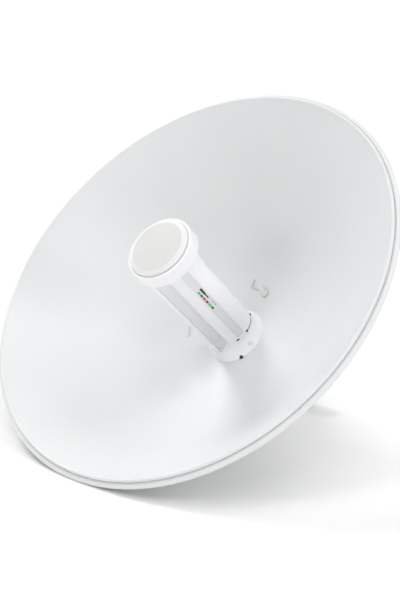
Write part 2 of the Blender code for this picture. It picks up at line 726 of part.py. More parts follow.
def main():
    clear_scene()
    make_axis()
    white_steel = material("white_paint", (0.69, 0.70, 0.705), 0.45)
    white_plastic = material("white_plastic", (0.85, 0.85, 0.86), 0.35)
    cap_plastic = material("cap_plastic", (0.60, 0.60, 0.585), 0.4)
    grey_plastic = material("grey_plastic", (0.73, 0.73, 0.745), 0.5)
    zinc = material("zinc_steel", (0.56, 0.57, 0.58), 0.35, 1.0)
    casting = material("cast_metal", (0.55, 0.56, 0.57), 0.5, 1.0)
    bolt_steel = material("bolt_steel", (0.62, 0.62, 0.62), 0.3, 1.0)
    rubber = material("black_rubber", (0.03, 0.03, 0.03), 0.7)

    make_reflector(white_steel)
    make_socket(white_plastic)
    body = make_feed_body(white_plastic)
    make_cap(cap_plastic)
    make_port_door("port_door_right", 1, body, grey_plastic)
    make_port_door("port_door_left", -1, body, grey_plastic)
    make_side_strip("status_strip", 1, body, grey_plastic)
    make_side_strip("flank_strip", -1, body, grey_plastic)
    for number, path in enumerate(HUB_CLIP_PATHS, 1):
        make_hub_clip(f"hub_clip_{number}", path, cap_plastic)
    make_hub(white_plastic)
    make_housing(white_plastic)
    make_gland(rubber)
    make_standoffs(zinc, bolt_steel)
    make_mount_bracket(zinc)
    make_tilt_bracket(zinc)
    make_cross_bolt("pivot", PIVOT_OFFSET, bolt_steel)
    make_cross_bolt("lock", PIVOT_OFFSET + SLOT_RADIUS, bolt_steel)
    make_saddle(casting)
    make_jaw(casting)
    make_clamp_bolts(bolt_steel)


main()
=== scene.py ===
"""Small parabolic dish antenna: a stamped reflector, a plug-in feed on its axis and a mast clamp behind.

Shapes are drawn in millimetres about the dish's own axis: +Z looks out of the dish, +Y is up when the dish
looks at the horizon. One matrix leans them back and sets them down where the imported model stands.
"""

import math

import bmesh
import bpy
from mathutils import Matrix, Vector


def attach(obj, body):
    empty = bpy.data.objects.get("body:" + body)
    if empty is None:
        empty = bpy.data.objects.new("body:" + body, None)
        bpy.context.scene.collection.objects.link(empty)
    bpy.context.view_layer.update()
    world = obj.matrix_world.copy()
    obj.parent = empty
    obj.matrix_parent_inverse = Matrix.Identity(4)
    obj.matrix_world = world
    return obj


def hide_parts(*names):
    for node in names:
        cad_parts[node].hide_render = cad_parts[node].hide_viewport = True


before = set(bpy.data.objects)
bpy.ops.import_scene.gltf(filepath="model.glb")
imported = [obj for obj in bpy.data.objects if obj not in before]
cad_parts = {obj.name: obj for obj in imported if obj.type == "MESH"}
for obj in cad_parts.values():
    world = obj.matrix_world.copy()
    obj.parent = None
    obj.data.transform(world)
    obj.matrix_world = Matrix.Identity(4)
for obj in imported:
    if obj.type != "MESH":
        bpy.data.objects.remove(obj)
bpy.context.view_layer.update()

MM = 0.001
GAP = 0.3

# Shading is smooth up to this angle between faces, in degrees.
SHARP_ANGLE = 35.0

# Painted shade in creases, greyed where ambient occlusion finds them sheltered: how far it reaches out of
# them in millimetres, how open a place may be, and how dark it is.
CREASE_SHADE_REACH = 4.0
CREASE_SHADE_RANGE = (0.2, 0.85)
CREASE_SHADE_DARKNESS = 0.35

# Reflector. Sweeps are the first and last angle of an arc.
APERTURE_RADIUS = 202.0
DISH_DEPTH = 88.0
FOCAL_LENGTH = 112.0
SHEET = 1.2
HUB_HOLE_RADIUS = 22.3
HOLE_EDGE = 0.4
LIP_RADIUS = 1.6
LIP_CENTRE = (203.9, 3.0)
LIP_SWEEP = (140, -30)
LIP_GROOVE = (205.15, 1.3)
BEAD_RADIUS = 2.8
BEAD_CENTRE = (207.2, -1.1)
BEAD_SWEEP = (135, -135)
DISH_RINGS = 48
DISH_SEGMENTS = 300

# Feed
TUBE_FOOT = -72.2
TUBE_RADIUS = 20.0
TUBE_LEVELS = [-60.0, -45.0, -30.0, -15.0]
KEEL_HALF_WIDTH = 2.5
KEEL_FLAT_HALF_WIDTH = 0.8
KEEL_FOOT_DEPTH = 28.5
KEEL_HEAD_DEPTH = 30.7
KEEL_FOOT_ROOT = 62.2
KEEL_HEAD_ROOT = 67.0
KEEL_EDGE = 1.3
SPIGOT_RADIUS = 16.0
SPIGOT_FOOT = -96.0
RING_RADIUS = 32.5
RING_FOOT = 43.6
RING_HEAD = 57.3
RING_LEVELS = [48.0, 52.0]
RING_FOOT_EDGE = 0.1
RING_EDGE = 1.4
RECESS_RADIUS = 30.2
RECESS_DEPTH = 0.5
RECESS_EDGE = (0.4, 0.3)
NECK_FOOT = -2.0
NECK_LEVELS = [1.5 * step for step in range(29)] + [43.0]
# The neck: height, and how far the crown has widened from the tube to the ring there.
NECK = [
    (TUBE_FOOT, 0.0), (NECK_FOOT, 0.0), (8.0, 0.18), (18.0, 0.28), (26.0, 0.44),
    (32.0, 0.70), (37.0, 0.88), (41.0, 0.97), (RING_FOOT, 1.0),
]
NECK_SHOULDER = 0.3
FLANK_DELAY = 8.0
UNDERSIDE_DELAY = 30.0

# Lid of the feed
CAP_RADIUS = 29.8
CAP_HEAD = 61.0
CAP_DOME = 0.3
CAP_EDGE = 0.5
CAP_EDGE_SWEEP = (0, 69)
CAP_FOOT_EDGE = 0.4
CAP_BAND_RADIUS = 25.2
CAP_BAND_FOOT = 59.4
CAP_CREASE = 0.8
CAP_FACE_EDGE = 24.3
CAP_FACE_RADIUS = 24.0
CAP_FACE_RISE = 0.02

# Doors and strips
DOOR_MARGIN = 1.0
DOOR_LOWER_INSET = KEEL_EDGE * 0.3
# The doors' ends slant: these are the heights of their upper and lower corners.
DOOR_FOOT = (-71.6, -76.4)
DOOR_HEAD = (32.5, 37.5)
DOOR_THICKNESS = 1.0
DOOR_SINK = 0.3
DOOR_CORNER = 3.5
DOOR_EDGE = 0.25
GRIP_HEIGHTS = (-65.5, -68.6, -71.8)
GRIP_SHARES = (0.42, 0.62, 0.82)
GRIP_SLANT = 1.5
GRIP_RADIUS = 0.7
STRIP_FOOT = -71.4
STRIP_HEAD = 33.0
STRIP_WIDTH = 7.5
STRIP_ANGLE = 21.0
STRIP_THICKNESS = 0.8
STRIP_SINK = 0.5
STRIP_CORNER = 1.2
STRIP_EDGE = 0.2
STRIP_FACE = TUBE_RADIUS - STRIP_SINK
POCKET_GAP = 0.1
DOOR_POCKET = DOOR_SINK + DOOR_THICKNESS + POCKET_GAP
CLEARANCE = 3.0

# Marks on the right strip. Drops are measured down from the strip's middle line.
STATUS_LIGHTS = ["green", "dark_green", "red", "dark_red", "green", "dark_green"]
PAD_ROOT = 0.1
PAD_WALL = 0.6
PAD_CROWN = 0.8
LIGHTS_HEAD = 2.8
LIGHT_PITCH = 4.9
LIGHT_DROP = 1.9
LIGHT_GLOW = 0.15
TICK_HEIGHTS = (-17.0, -21.0)
TICK_DROP = -2.0
LIGHT_COLOURS = {
    "green": (0.05, 0.45, 0.12),
    "dark_green": (0.03, 0.16, 0.07),
    "red": (0.55, 0.04, 0.05),
    "dark_red": (0.22, 0.03, 0.04),
}

# Base of the feed
SOCKET_LEDGE = 0.3
JOINT = 0.03
# How far the base's upper edge stands in from the ledge, and how far below the head.
SOCKET_HEAD_EDGE = [(0.3, 0.0), (0.2, 0.8), (0.0, 1.6)]
SOCKET_NECK_RADIUS = TUBE_RADIUS + SOCKET_LEDGE
SOCKET_FOOT_RADIUS = 28.5
SOCKET_FOOT_DROP = 4.5
SOCKET_EDGE = 0.5
SOCKET_FLARE = 1.9
SOCKET_RINGS = 14
# Slots in the base's neck: first and last angle, half height, and whether the ends are pointed.
JOINT_SLOTS = [(-2.5, 51.2, 0.5, False), (-43.0, -29.0, 1.1, True)]
SLOT_DEPTH = 0.7
SLOT_HEIGHT = -73.8
SLOT_STEP = 2.0
SLOT_TIP = 0.1
SLOT_CLEARANCE = 2.0
SLOT_END_RADIUS = 1.4
# Black inserts in the neck's slots, painted shade in them: how far below the neck's surface their face stays,
# and how far behind the slots' floor they start.
SHADE_INSERT_SINK = 0.25
SHADE_INSERT_ROOT = 0.1
# Round marks on the base: angle about the axis, distance from it and height.
HOLLOW_PLACE = (-19.2, 26.5, -82.6)
HOLLOW_RADIUS = 2.7
DOT_PIT_PLACE = (-48.2, 32.4, -84.6)
DOT_PIT_RADIUS = 2.6
DOT_PLACE = (-48.2, 30.6, -85.2)
DOT_RADIUS = 1.8

# Hub and cover behind the dish
HUB_RADIUS = 58.0
HUB_BACK = -99.0
HUB_EDGE = 5.0
HUB_RIM_EDGE = 0.3
HUB_POCKETS = 20
HUB_POCKET_INSIDE = 45.5
HUB_POCKET_OUTSIDE = 52.5
HUB_POCKET_DEPTH = 1.6
HUB_RIB_HALF_ANGLE = 2.2
HOUSING_RADIUS = 30.0
HOUSING_DEPTH = 8.5
HOUSING_EDGE = 0.5
HOUSING_CORNER = 3.0
GROOVE_OUTSIDE = 25.4
GROOVE_INSIDE = 23.8
GROOVE_DEPTH = 0.8
DISC_RADIUS = 8.5
DISC_DEPTH = 0.6
GROOVE_DRAFT = 0.2
SCREW_REACH = 19.0
SCREW_ANGLES = (90, 210, 330)
SCREW_TURN = 17
SCREW_HOLE_RADIUS = 3.3
SCREW_HOLE_DEPTH = 2.0
SCREW_HALF_SLOT = (1.7, 0.3)
SCREW_SLOT_FLOOR = 0.9
# Section of a cover screw: distance from its middle and depth below the cover's back.
SCREW_SECTION = [(0, 2.0), (2.9, 2.0), (2.9, 0.9), (2.3, 0.35), (1.2, 0.2), (0, 0.2)]
# Section of the cable inlet: distance from its middle and height above the hub's rim.
GLAND_BODY = [(0, 0), (4.4, 0), (5.0, 0.3), (5.0, 3.0), (4.4, 3.3)]
GLAND_NUT = [(4.2, 3.7), (4.5, 4.1), (4.5, 6.4), (4.3, 7.4), (3.7, 8.4), (3.0, 9.0)]
GLAND_SEAL = [(2.6, 9.0), (1.8, 8.6), (1.8, 5.2), (0, 5.0)]
GLAND_HEX_RADIUS = 5.0
GLAND_NUT_FOOT = 3.6
GLAND_FLUTES = 18
GLAND_FLUTE_DEPTH = 0.16
GLAND_OFFSET = 10.0

# Brackets and bolts
STANDOFF_RADIUS = 6.0
STANDOFF_BORE = 3.0
STANDOFF_EDGE = 0.4
STANDOFF_LENGTH = 11.0
STANDOFF_REACH = 26.0
STEEL = 2.5
STEEL_EDGE = 0.35
EAR_OUTSIDE = 17.0
BRACKET_EAR_HALF_HEIGHT = 17.0
BRACKET_EAR_LENGTH = 24.0
PIVOT_OFFSET = -8.0
SLOT_RADIUS = 16.0
BOLT_RADIUS = 3.0
BOLT_HEAD_RADIUS = 5.5
CLAMP_BOLT_HEAD_RADIUS = 5.2
BOLT_HEAD_HEIGHT = 3.6
BOLT_SLACK = 0.05
BOLT_POINTS = 24
BOLT_ANGLES = [math.tau * index / BOLT_POINTS for index in range(BOLT_POINTS)]
BOLT_SOCKET_RADIUS = 2.6
BOLT_SOCKET_DEPTH = 2.2
BOLT_SOCKET_BEVEL = 0.5
BOLT_EDGE = 0.2
# How far in from the head's side the crown's rings are, and how far down from its top.
BOLT_CROWN = [(1.4, 0.0), (0.5, 0.35), (0.0, 1.0)]
THREAD_PITCH = 1.0
THREAD_DEPTH = 0.3
THREAD_RUN_IN = 0.8
THREAD_TAPER = 0.3
THREAD_RINGS_A_TURN = 6
PLATE_BOLT_TURN = 23
PLATE_BOLT_SHANK = 3.0
CROSS_BOLT_TAIL = 9.0
CROSS_BOLT_SHANK = 8.0
NUT_HEIGHT = 5.0
NUT_EDGE = 0.5
NUT_CORNER_SLOPE = 1.6
NUT_BORE_RADIUS = BOLT_RADIUS + 0.1

# Clamp
CLAMP_HALF_WIDTH = 26.0
CLAMP_HALF_HEIGHT = 20.0
CLAMP_BOLT_REACH = 20.0
CLAMP_BOLT_TAIL = 2.0
CLAMP_BOLT_SHANK = 12.0
CLAMP_HOLE_RADIUS = 3.3
CLAMP_HOLE_REACH = 60.0
VEE_HALF_WIDTH = 14.5
VEE_ANGLE = 30.0
VEE_APEX_HALF_WIDTH = 0.6
VEE_APEX_RISE = 0.35
VEE_TEETH = 9
VEE_TOOTH_DEPTH = 0.7
VEE_TOOTH_CREST = 0.75
MAST_RADIUS = 17.0
SADDLE_SKIN = 3.2
JAW_SKIN = 4.0
CAST_CHAMFER = 3.0
CAST_EDGE = 0.3

# Pose: the dish leans back on its lowest rim point and on the clamp.
LEAN = math.radians(45.0)
LEAN_SINE = math.sin(LEAN)
REST_REACH = (BEAD_CENTRE[0] - BEAD_CENTRE[1]) * LEAN_SINE + BEAD_RADIUS
FRONT_REACH = (BEAD_CENTRE[0] + BEAD_CENTRE[1]) * LEAN_SINE + BEAD_RADIUS
JAW_BACK = -(REST_REACH - CLAMP_HALF_HEIGHT * LEAN_SINE) / LEAN_SINE
MAST_TO_APEX = MAST_RADIUS / math.cos(math.radians(VEE_ANGLE))
MAST_AXIS = JAW_BACK + JAW_SKIN + MAST_TO_APEX
SADDLE_FRONT = MAST_AXIS + MAST_TO_APEX + SADDLE_SKIN
TILT_WEB_BACK = SADDLE_FRONT + GAP
BRACKET_WEB_FRONT = HUB_BACK - STANDOFF_LENGTH - 2 * GAP
BRACKET_WEB_BACK = BRACKET_WEB_FRONT - STEEL
CROSS_BOLT_HEIGHT = BRACKET_WEB_BACK - BRACKET_EAR_LENGTH + BRACKET_EAR_HALF_HEIGHT

SET_DOWN = Matrix.Translation((0, (FRONT_REACH - REST_REACH) / 2 * MM, REST_REACH * MM))
DISH = SET_DOWN @ Matrix.Rotation(LEAN, 4, "X") @ Matrix.Scale(MM, 4)

# Camera: it aims a little beside the middle of the rim. Distances are in metres.
AZIMUTH = math.radians(45.2)
ELEVATION = math.radians(17.1)
CAMERA_DISTANCE = 2.0
LENS = 132.56
AIM_RIGHT = 0.00747
AIM_UP = -0.01549

# Soft suns in groups: compass angles from the front and height above the floor, in degrees, and strength.
SUNS = {
    "low": ((0, 180, 270), 10, 0.5),
    "low_right": ((90,), 10, 0.75),
    "left_key": ((270,), 48, 1.0),
    "left_fill": ((250,), 35, 0.25),
    "front": ((0, 45), 48, 0.4),
    "right_back": ((115,), 35, 0.45),
    "right_high": ((120,), 60, 0.45),
    "top_right": ((30, 150), 72, 0.35),
    "top_left": ((210, 330), 72, 0.1),
}
SUN_WIDTH = 22.0
SKY = 0.2

# Floor, in metres: flat to this distance, then bent up on an arc.
FLOOR_FLAT = 24
FLOOR_BEND = 16


def surface(radius):
    """Height of the reflecting surface at this radius."""
    return radius**2 / (4 * FOCAL_LENGTH) - DISH_DEPTH


def arc(centre, radius, start, end, steps):
    """Points on an arc, angles in degrees, both ends included."""
    points = []
    for step in range(steps + 1):
        angle = math.radians(start + (end - start) * step / steps)
        points.append((centre[0] + radius * math.cos(angle), centre[1] + radius * math.sin(angle)))
    return points


def rounded(start, corner, end, steps=4):
    """Points of a soft corner from start to end, pulled towards the corner."""
    points = []
    for step in range(steps + 1):
        share = step / steps
        near = (1 - share)**2
        far = share**2
        pull = 2 * share * (1 - share)
        places = zip(start, corner, end)
        points.append(tuple(near * first + pull * middle + far * last for first, middle, last in places))
    return points


def even_steps(start, end, steps):
    """Even steps from start to end, both ends included."""
    return [start + (end - start) * step / steps for step in range(steps + 1)]


# Mesh helpers

def skin(shape, lower, upper):
    """Joins two rings of vertices. A ring of one vertex is a pole."""
    count = max(len(lower), len(upper))
    for index in range(count):
        after = (index + 1) % count
        corners = [lower[index % len(lower)], lower[after % len(lower)]]
        corners += [upper[after % len(upper)], upper[index % len(upper)]]
        shape.faces.new(list(dict.fromkeys(corners)))


def spun(profile, segments, sides=None):
    """A bmesh turned about Z from (radius, height) points. sides(radius, height, angle) may set another."""
    rings = []
    for radius, height in profile:
        ring = []
        for step in range(segments if radius else 1):
            angle = math.tau * step / segments
            reach = sides(radius, height, angle) if sides and radius else radius
            ring.append((reach * math.cos(angle), reach * math.sin(angle), height))
        rings.append(ring)
    return lofted(rings, closed=profile[0][0] > 0)


def lofted(rings, closed=False):
    """A bmesh skinned over rings of points. Its ends are capped, joined to each other or left as poles."""
    shape = bmesh.new()
    loops = [[shape.verts.new(point) for point in ring] for ring in rings]
    pairs = list(zip(loops, loops[1:]))
    if closed:
        pairs.append((loops[-1], loops[0]))
    elif len(loops[0]) > 1:
        shape.faces.new(loops[0][::-1])
        shape.faces.new(loops[-1])
    for lower, upper in pairs:
        skin(shape, lower, upper)
    return shape


def extruded(outline, start, reach):
    """A bmesh: a flat outline at start, pulled along reach."""
    near = [Vector(start) + Vector(point) for point in outline]
    far = [point + Vector(reach) for point in near]
    return lofted([near, far])


def pin(radius, foot, head):
    """A plain round pin along Z, to cut a hole with."""
    return spun([(0, foot), (radius, foot), (radius, head), (0, head)], 32)


def at_height(outline, height):
    return [(x, y, height) for x, y in outline]


def around(angle, reach, height):
    """A point at this angle about the axis, in degrees."""
    return reach * math.cos(math.radians(angle)), reach * math.sin(math.radians(angle)), height


def ball(radius, centre):
    shape = bmesh.new()
    bmesh.ops.create_icosphere(shape, subdivisions=3, radius=radius)
    return moved(shape, shift=centre)


def moved(shape, turn=(0, 0, 0), shift=(0, 0, 0)):
    """Turns a bmesh about X, Y and Z in degrees, then shifts it."""
    spin = Matrix.Identity(4)
    for angle, name in zip(turn, "XYZ"):
        spin = Matrix.Rotation(math.radians(angle), 4, name) @ spin
    shape.transform(Matrix.Translation(shift) @ spin)
    return shape


def merged(shapes):
    """One bmesh that holds all of these."""
    whole = bmesh.new()
    for shape in shapes:
        mesh = bpy.data.meshes.new("part")
        shape.to_mesh(mesh)
        shape.free()
        whole.from_mesh(mesh)
        bpy.data.meshes.remove(mesh)
    return whole


def shaded(mesh, smooth):
    """Smooth shading, sharp where faces meet at more than this angle in degrees."""
    mesh.shade_smooth()
    mesh.set_sharp_from_angle(angle=math.radians(smooth))


def placed(name, data):
    """A new object in the scene."""
    item = bpy.data.objects.new(name, data)
    bpy.context.scene.collection.objects.link(item)
    return item


def as_object(name, shape, finish=None, smooth=SHARP_ANGLE):
    """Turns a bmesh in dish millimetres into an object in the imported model's frame."""
    bmesh.ops.recalc_face_normals(shape, faces=shape.faces)
    shape.transform(DISH)
    mesh = bpy.data.meshes.new(name)
    shape.to_mesh(mesh)
    shape.free()
    shaded(mesh, smooth)
    if finish:
        mesh.materials.append(finish)
    return placed(name, mesh)


def settle(piece, smooth=SHARP_ANGLE, hardened=False):
    """Bakes a piece's modifiers into its mesh."""
    graph = bpy.context.evaluated_depsgraph_get()
    mesh = bpy.data.meshes.new_from_object(piece.evaluated_get(graph))
    piece.modifiers.clear()
    piece.data = mesh
    if not hardened:
        shaded(mesh, smooth)


def carve(piece, shapes, smooth=SHARP_ANGLE):
    """Cuts shapes out of a piece."""
    tool = as_object(piece.name + "_tool", merged(shapes))
    cut = piece.modifiers.new("cut", "BOOLEAN")
    cut.operation = "DIFFERENCE"
    cut.solver = "EXACT"
    cut.use_self = True
    cut.object = tool
    settle(piece, smooth)
    bpy.data.objects.remove(tool)


def soften(piece, width, segments=2):
    """Rounds a piece's sharp edges by this width in millimetres."""
    bevel = piece.modifiers.new("bevel", "BEVEL")
    bevel.width = width * MM
    bevel.segments = segments
    bevel.limit_method = "ANGLE"
    bevel.angle_limit = math.radians(SHARP_ANGLE)
    bevel.harden_normals = True
    settle(piece, hardened=True)


def make(name, shape, slot, nodes=(), smooth=SHARP_ANGLE):
    """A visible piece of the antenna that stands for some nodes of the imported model."""
    piece = as_object(name, shape, FINISHES[slot], smooth)
    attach(piece, "root")
    if nodes:
        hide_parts(*nodes)
    return piece


# Materials

def node(tree, kind, **settings):
    item = tree.nodes.new(kind)
    for key, value in settings.items():
        setattr(item, key, value)
    return item


def noise(tree, coordinates, scale, detail=3.0, stretch=(1, 1, 1)):
    """Noise in object space, scale in cells a metre."""
    mapping = node(tree, "ShaderNodeMapping")
    mapping.inputs["Scale"].default_value = stretch
    tree.links.new(coordinates, mapping.inputs["Vector"])
    texture = node(tree, "ShaderNodeTexNoise")
    texture.inputs["Scale"].default_value = scale
    texture.inputs["Detail"].default_value = detail
    tree.links.new(mapping.outputs["Vector"], texture.inputs["Vector"])
    return texture.outputs["Fac"]


def ranged(tree, value, low, high, start=0.3, end=0.7):
    """Maps a noise value to a range."""
    scale = node(tree, "ShaderNodeMapRange")
    scale.inputs["From Min"].default_value = start
    scale.inputs["From Max"].default_value = end
    scale.inputs["To Min"].default_value = low
    scale.inputs["To Max"].default_value = high
    tree.links.new(value, scale.inputs["Value"])
    return scale.outputs["Result"]


def blended(tree, share, first, second):
    """Mixes two colours, or a colour over a socket."""
    mix = node(tree, "ShaderNodeMix", data_type="RGBA")
    tree.links.new(share, mix.inputs["Factor"])
    for key, colour in (("A", first), ("B", second)):
        socket = [item for item in mix.inputs if item.name == key and item.type == "RGBA"][0]
        if isinstance(colour, tuple):
            socket.default_value = (*colour, 1)
        else:
            tree.links.new(colour, socket)
    return [item for item in mix.outputs if item.type == "RGBA"][0]


def coated(name, colour, shade, roughness, grain, depth,
           metallic=0.0, mottle=18.0, stretch=(1, 1, 1), crease_shade=0.0):
    """A surface with fine grain in its normal, soft blotches in its colour and uneven sheen.

    roughness is a range, grain and mottle in cells a metre, depth in millimetres; the last setting paints
    shade into the creases, greying them by ambient occlusion.
    """
    finish = bpy.data.materials.new(name)
    finish.use_nodes = True
    tree = finish.node_tree
    shader = tree.nodes["Principled BSDF"]
    shader.inputs["Metallic"].default_value = metallic
    place = node(tree, "ShaderNodeTexCoord").outputs["Object"]
    tone = blended(tree, ranged(tree, noise(tree, place, mottle), 0.0, 1.0), colour, shade)
    # Painted shade: creases greyed by ambient occlusion.
    if crease_shade:
        occlusion = node(tree, "ShaderNodeAmbientOcclusion", samples=4)
        occlusion.inputs["Distance"].default_value = CREASE_SHADE_REACH * MM
        unshaded_share = ranged(tree, occlusion.outputs["AO"], 1 - crease_shade, 1.0, *CREASE_SHADE_RANGE)
        crease_shade_colour = tuple(channel * CREASE_SHADE_DARKNESS for channel in shade)
        tone = blended(tree, unshaded_share, crease_shade_colour, tone)
    tree.links.new(tone, shader.inputs["Base Color"])
    gloss = noise(tree, place, grain / 9, 4.0, stretch)
    tree.links.new(ranged(tree, gloss, roughness[0], roughness[1]), shader.inputs["Roughness"])
    bump = node(tree, "ShaderNodeBump")
    bump.inputs["Strength"].default_value = 1.0
    bump.inputs["Distance"].default_value = depth * MM
    tree.links.new(noise(tree, place, grain, 2.0, stretch), bump.inputs["Height"])
    tree.links.new(bump.outputs["Normal"], shader.inputs["Normal"])
    return finish


def moulded(name, colour, shade):
    """Fine matt moulding."""
    return coated(name, colour, shade, roughness=(0.40, 0.55), grain=2600, depth=0.015)


def white_paint():
    """Satin powder coat of the reflector."""
    return coated("white_paint", (0.692, 0.70, 0.705), (0.67, 0.68, 0.687),
                  roughness=(0.36, 0.50), grain=1400, depth=0.02)


def white_plastic():
    """White moulding of the feed, its base, the hub and the cover."""
    return moulded("white_plastic", (0.85, 0.85, 0.865), (0.82, 0.82, 0.835))


def cap_plastic():
    """Slightly warm off-white moulding of the lid and the clips."""
    return moulded("cap_plastic", (0.63, 0.633, 0.615), (0.61, 0.613, 0.595))


def cap_band_highlight():
    """The same moulding, painted paler on the lid's sloping band: a painted highlight, where the slope
    catches the light.
    """
    return moulded("cap_band_highlight", (0.73, 0.732, 0.725), (0.71, 0.712, 0.705))


def grey_plastic():
    """Slightly greyer moulding of the doors and strips."""
    return coated("grey_plastic", (0.735, 0.735, 0.75), (0.71, 0.71, 0.725),
                  roughness=(0.42, 0.58), grain=2600, depth=0.02)


# The three metals below have painted shade in their creases.
def zinc_steel():
    """Zinc plated sheet, streaked along the bend."""
    return coated("zinc_steel", (0.56, 0.57, 0.58), (0.47, 0.48, 0.50), roughness=(0.26, 0.46), grain=900,
                  depth=0.01, metallic=1.0, mottle=70.0, stretch=(1, 6, 6), crease_shade=0.5)


def cast_metal():
    """Fine cast surface of the clamp."""
    return coated("cast_metal", (0.55, 0.56, 0.57), (0.47, 0.48, 0.49), roughness=(0.40, 0.62), grain=1500,
                  depth=0.06, metallic=1.0, mottle=60.0, crease_shade=0.5)


def bolt_steel():
    """Bright plated bolts and nuts."""
    return coated("bolt_steel", (0.62, 0.62, 0.62), (0.52, 0.52, 0.51), roughness=(0.20, 0.40), grain=1200,
                  depth=0.008, metallic=1.0, mottle=90.0, crease_shade=0.5)


def black_rubber():
    """Matt black of the cable inlet's seal and dark marks, and of the inserts that paint shade into the
    base's slots.
    """
    return coated("black_rubber", (0.03, 0.03, 0.03), (0.045, 0.045, 0.045),
                  roughness=(0.55, 0.75), grain=1800, depth=0.03)


def light_window(name, colour):
    """A small coloured light window with a faint glow."""
    finish = bpy.data.materials.new(name)
    finish.use_nodes = True
    shader = finish.node_tree.nodes["Principled BSDF"]
    shader.inputs["Base Color"].default_value = (*colour, 1)
    shader.inputs["Roughness"].default_value = 0.25
    shader.inputs["Emission Color"].default_value = (*colour, 1)
    shader.inputs["Emission Strength"].default_value = LIGHT_GLOW
    return finish


FINISHES = {
    "white_paint": white_paint(),
    "white_plastic": white_plastic(),
    "cap_plastic": cap_plastic(),
    "cap_band_highlight": cap_band_highlight(),
    "grey_plastic": grey_plastic(),
    "zinc_steel": zinc_steel(),
    "cast_metal": cast_metal(),
    "bolt_steel": bolt_steel(),
    "black_rubber": black_rubber(),
}


# Reflector

def reflector_profile():
    """Section of the dish: out along its face, round the lip and the outer bead, and back along its rear."""
    radii = even_steps(HUB_HOLE_RADIUS, APERTURE_RADIUS, DISH_RINGS)
    hole = surface(HUB_HOLE_RADIUS)
    hole_edge = arc((HUB_HOLE_RADIUS + HOLE_EDGE, hole - HOLE_EDGE), HOLE_EDGE, 180, 90, 3)
    face = [(radius, surface(radius)) for radius in radii[1:]]
    lip = arc(LIP_CENTRE, LIP_RADIUS, *LIP_SWEEP, 14)
    bead = arc(BEAD_CENTRE, BEAD_RADIUS, *BEAD_SWEEP, 24)
    back = [(HUB_HOLE_RADIUS, hole - SHEET)]
    for radius in radii[1:]:
        slope = math.atan(radius / (2 * FOCAL_LENGTH))
        back.append((radius + SHEET * math.sin(slope), surface(radius) - SHEET * math.cos(slope)))
    return hole_edge + face + lip + [LIP_GROOVE] + bead + back[::-1]


def make_reflector():
    make("reflector_dish", spun(reflector_profile(), DISH_SEGMENTS), "white_paint", ["reflector"])


# Feed

def neck_share(height):
    """How far the crown has widened at this height, on a smooth curve through the points of the neck."""
    if height <= NECK_FOOT:
        return 0.0
    for index in range(1, len(NECK) - 1):
        low, high = NECK[index], NECK[index + 1]
        if height <= high[0]:
            break
    before = NECK[index - 1]
    after = NECK[min(index + 2, len(NECK) - 1)]
    width = high[0] - low[0]
    start = (high[1] - before[1]) / (high[0] - before[0]) * width
    end = (after[1] - low[1]) / (after[0] - low[0]) * width
    share = (height - low[0]) / width
    square = share**2
    cube = share**3
    return ((2 * cube - 3 * square + 1) * low[1] + (cube - 2 * square + share) * start
            + (3 * square - 2 * cube) * high[1] + (cube - square) * end)


def keel_edges(height):
    """The right flank's two ends at this height: where it leaves the tube, and the keel's lower corner."""
    share = (height - TUBE_FOOT) / (RING_FOOT - TUBE_FOOT)
    angle = math.radians(KEEL_FOOT_ROOT + (KEEL_HEAD_ROOT - KEEL_FOOT_ROOT) * share)
    depth = KEEL_FOOT_DEPTH + (KEEL_HEAD_DEPTH - KEEL_FOOT_DEPTH) * share
    root = Vector((TUBE_RADIUS * math.cos(angle), -TUBE_RADIUS * math.sin(angle)))
    return root, Vector((KEEL_HALF_WIDTH, -depth))


def tube_section(height):
    """Outline of the feed: a round tube, two straight flanks and the keel's narrow bottom."""
    root, corner = keel_edges(height)
    along = (corner - root).normalized()
    flank = [tuple(root + (corner - root) * step / 8) for step in range(1, 8)]
    bottom_start = tuple(corner - along * KEEL_EDGE)
    bottom_end = (corner.x - KEEL_EDGE, corner.y)
    right = flank + rounded(bottom_start, tuple(corner), bottom_end) + [(KEEL_FLAT_HALF_WIDTH, corner.y)]
    start = math.degrees(math.atan2(root.y, root.x))
    points = arc((0, 0), TUBE_RADIUS, start, 180 - start, 96)
    points += [(-x, y) for x, y in right]
    return points + right[::-1]


def round_section(height, radius):
    """A circle whose points lie at the same angles as the tube's section at this height."""
    points = []
    for x, y in tube_section(height):
        scale = radius / math.hypot(x, y)
        points.append((x * scale, y * scale))
    return points


def flared(outline, share):
    """Widens a section towards the ring: fully at the crown, later at the flanks, last on the underside."""
    points = []
    for x, y in outline:
        radius = math.hypot(x, y)
        upward = y / radius
        delay = 1 + FLANK_DELAY * (1 - max(upward, 0)) - UNDERSIDE_DELAY * min(upward, 0)
        wider = radius + (RING_RADIUS - NECK_SHOULDER - radius) * share**delay
        points.append((x * wider / radius, y * wider / radius))
    return points


def ring_edges():
    """Section of the ring about the lid, from its foot round to the floor of its recess."""
    edge = [(RING_RADIUS - RING_FOOT_EDGE, RING_FOOT + RING_FOOT_EDGE / 2)]
    edge.append((RING_RADIUS, RING_FOOT + 2 * RING_FOOT_EDGE))
    edge += [(RING_RADIUS, level) for level in RING_LEVELS]
    edge += arc((RING_RADIUS - RING_EDGE, RING_HEAD - RING_EDGE), RING_EDGE, 0, 90, 8)
    start = (RECESS_RADIUS + RECESS_EDGE[0], RING_HEAD)
    end = (RECESS_RADIUS, RING_HEAD - RECESS_EDGE[1])
    edge += rounded(start, (RECESS_RADIUS, RING_HEAD), end, 3)
    return edge + [(RECESS_RADIUS, RING_HEAD - RECESS_DEPTH)]


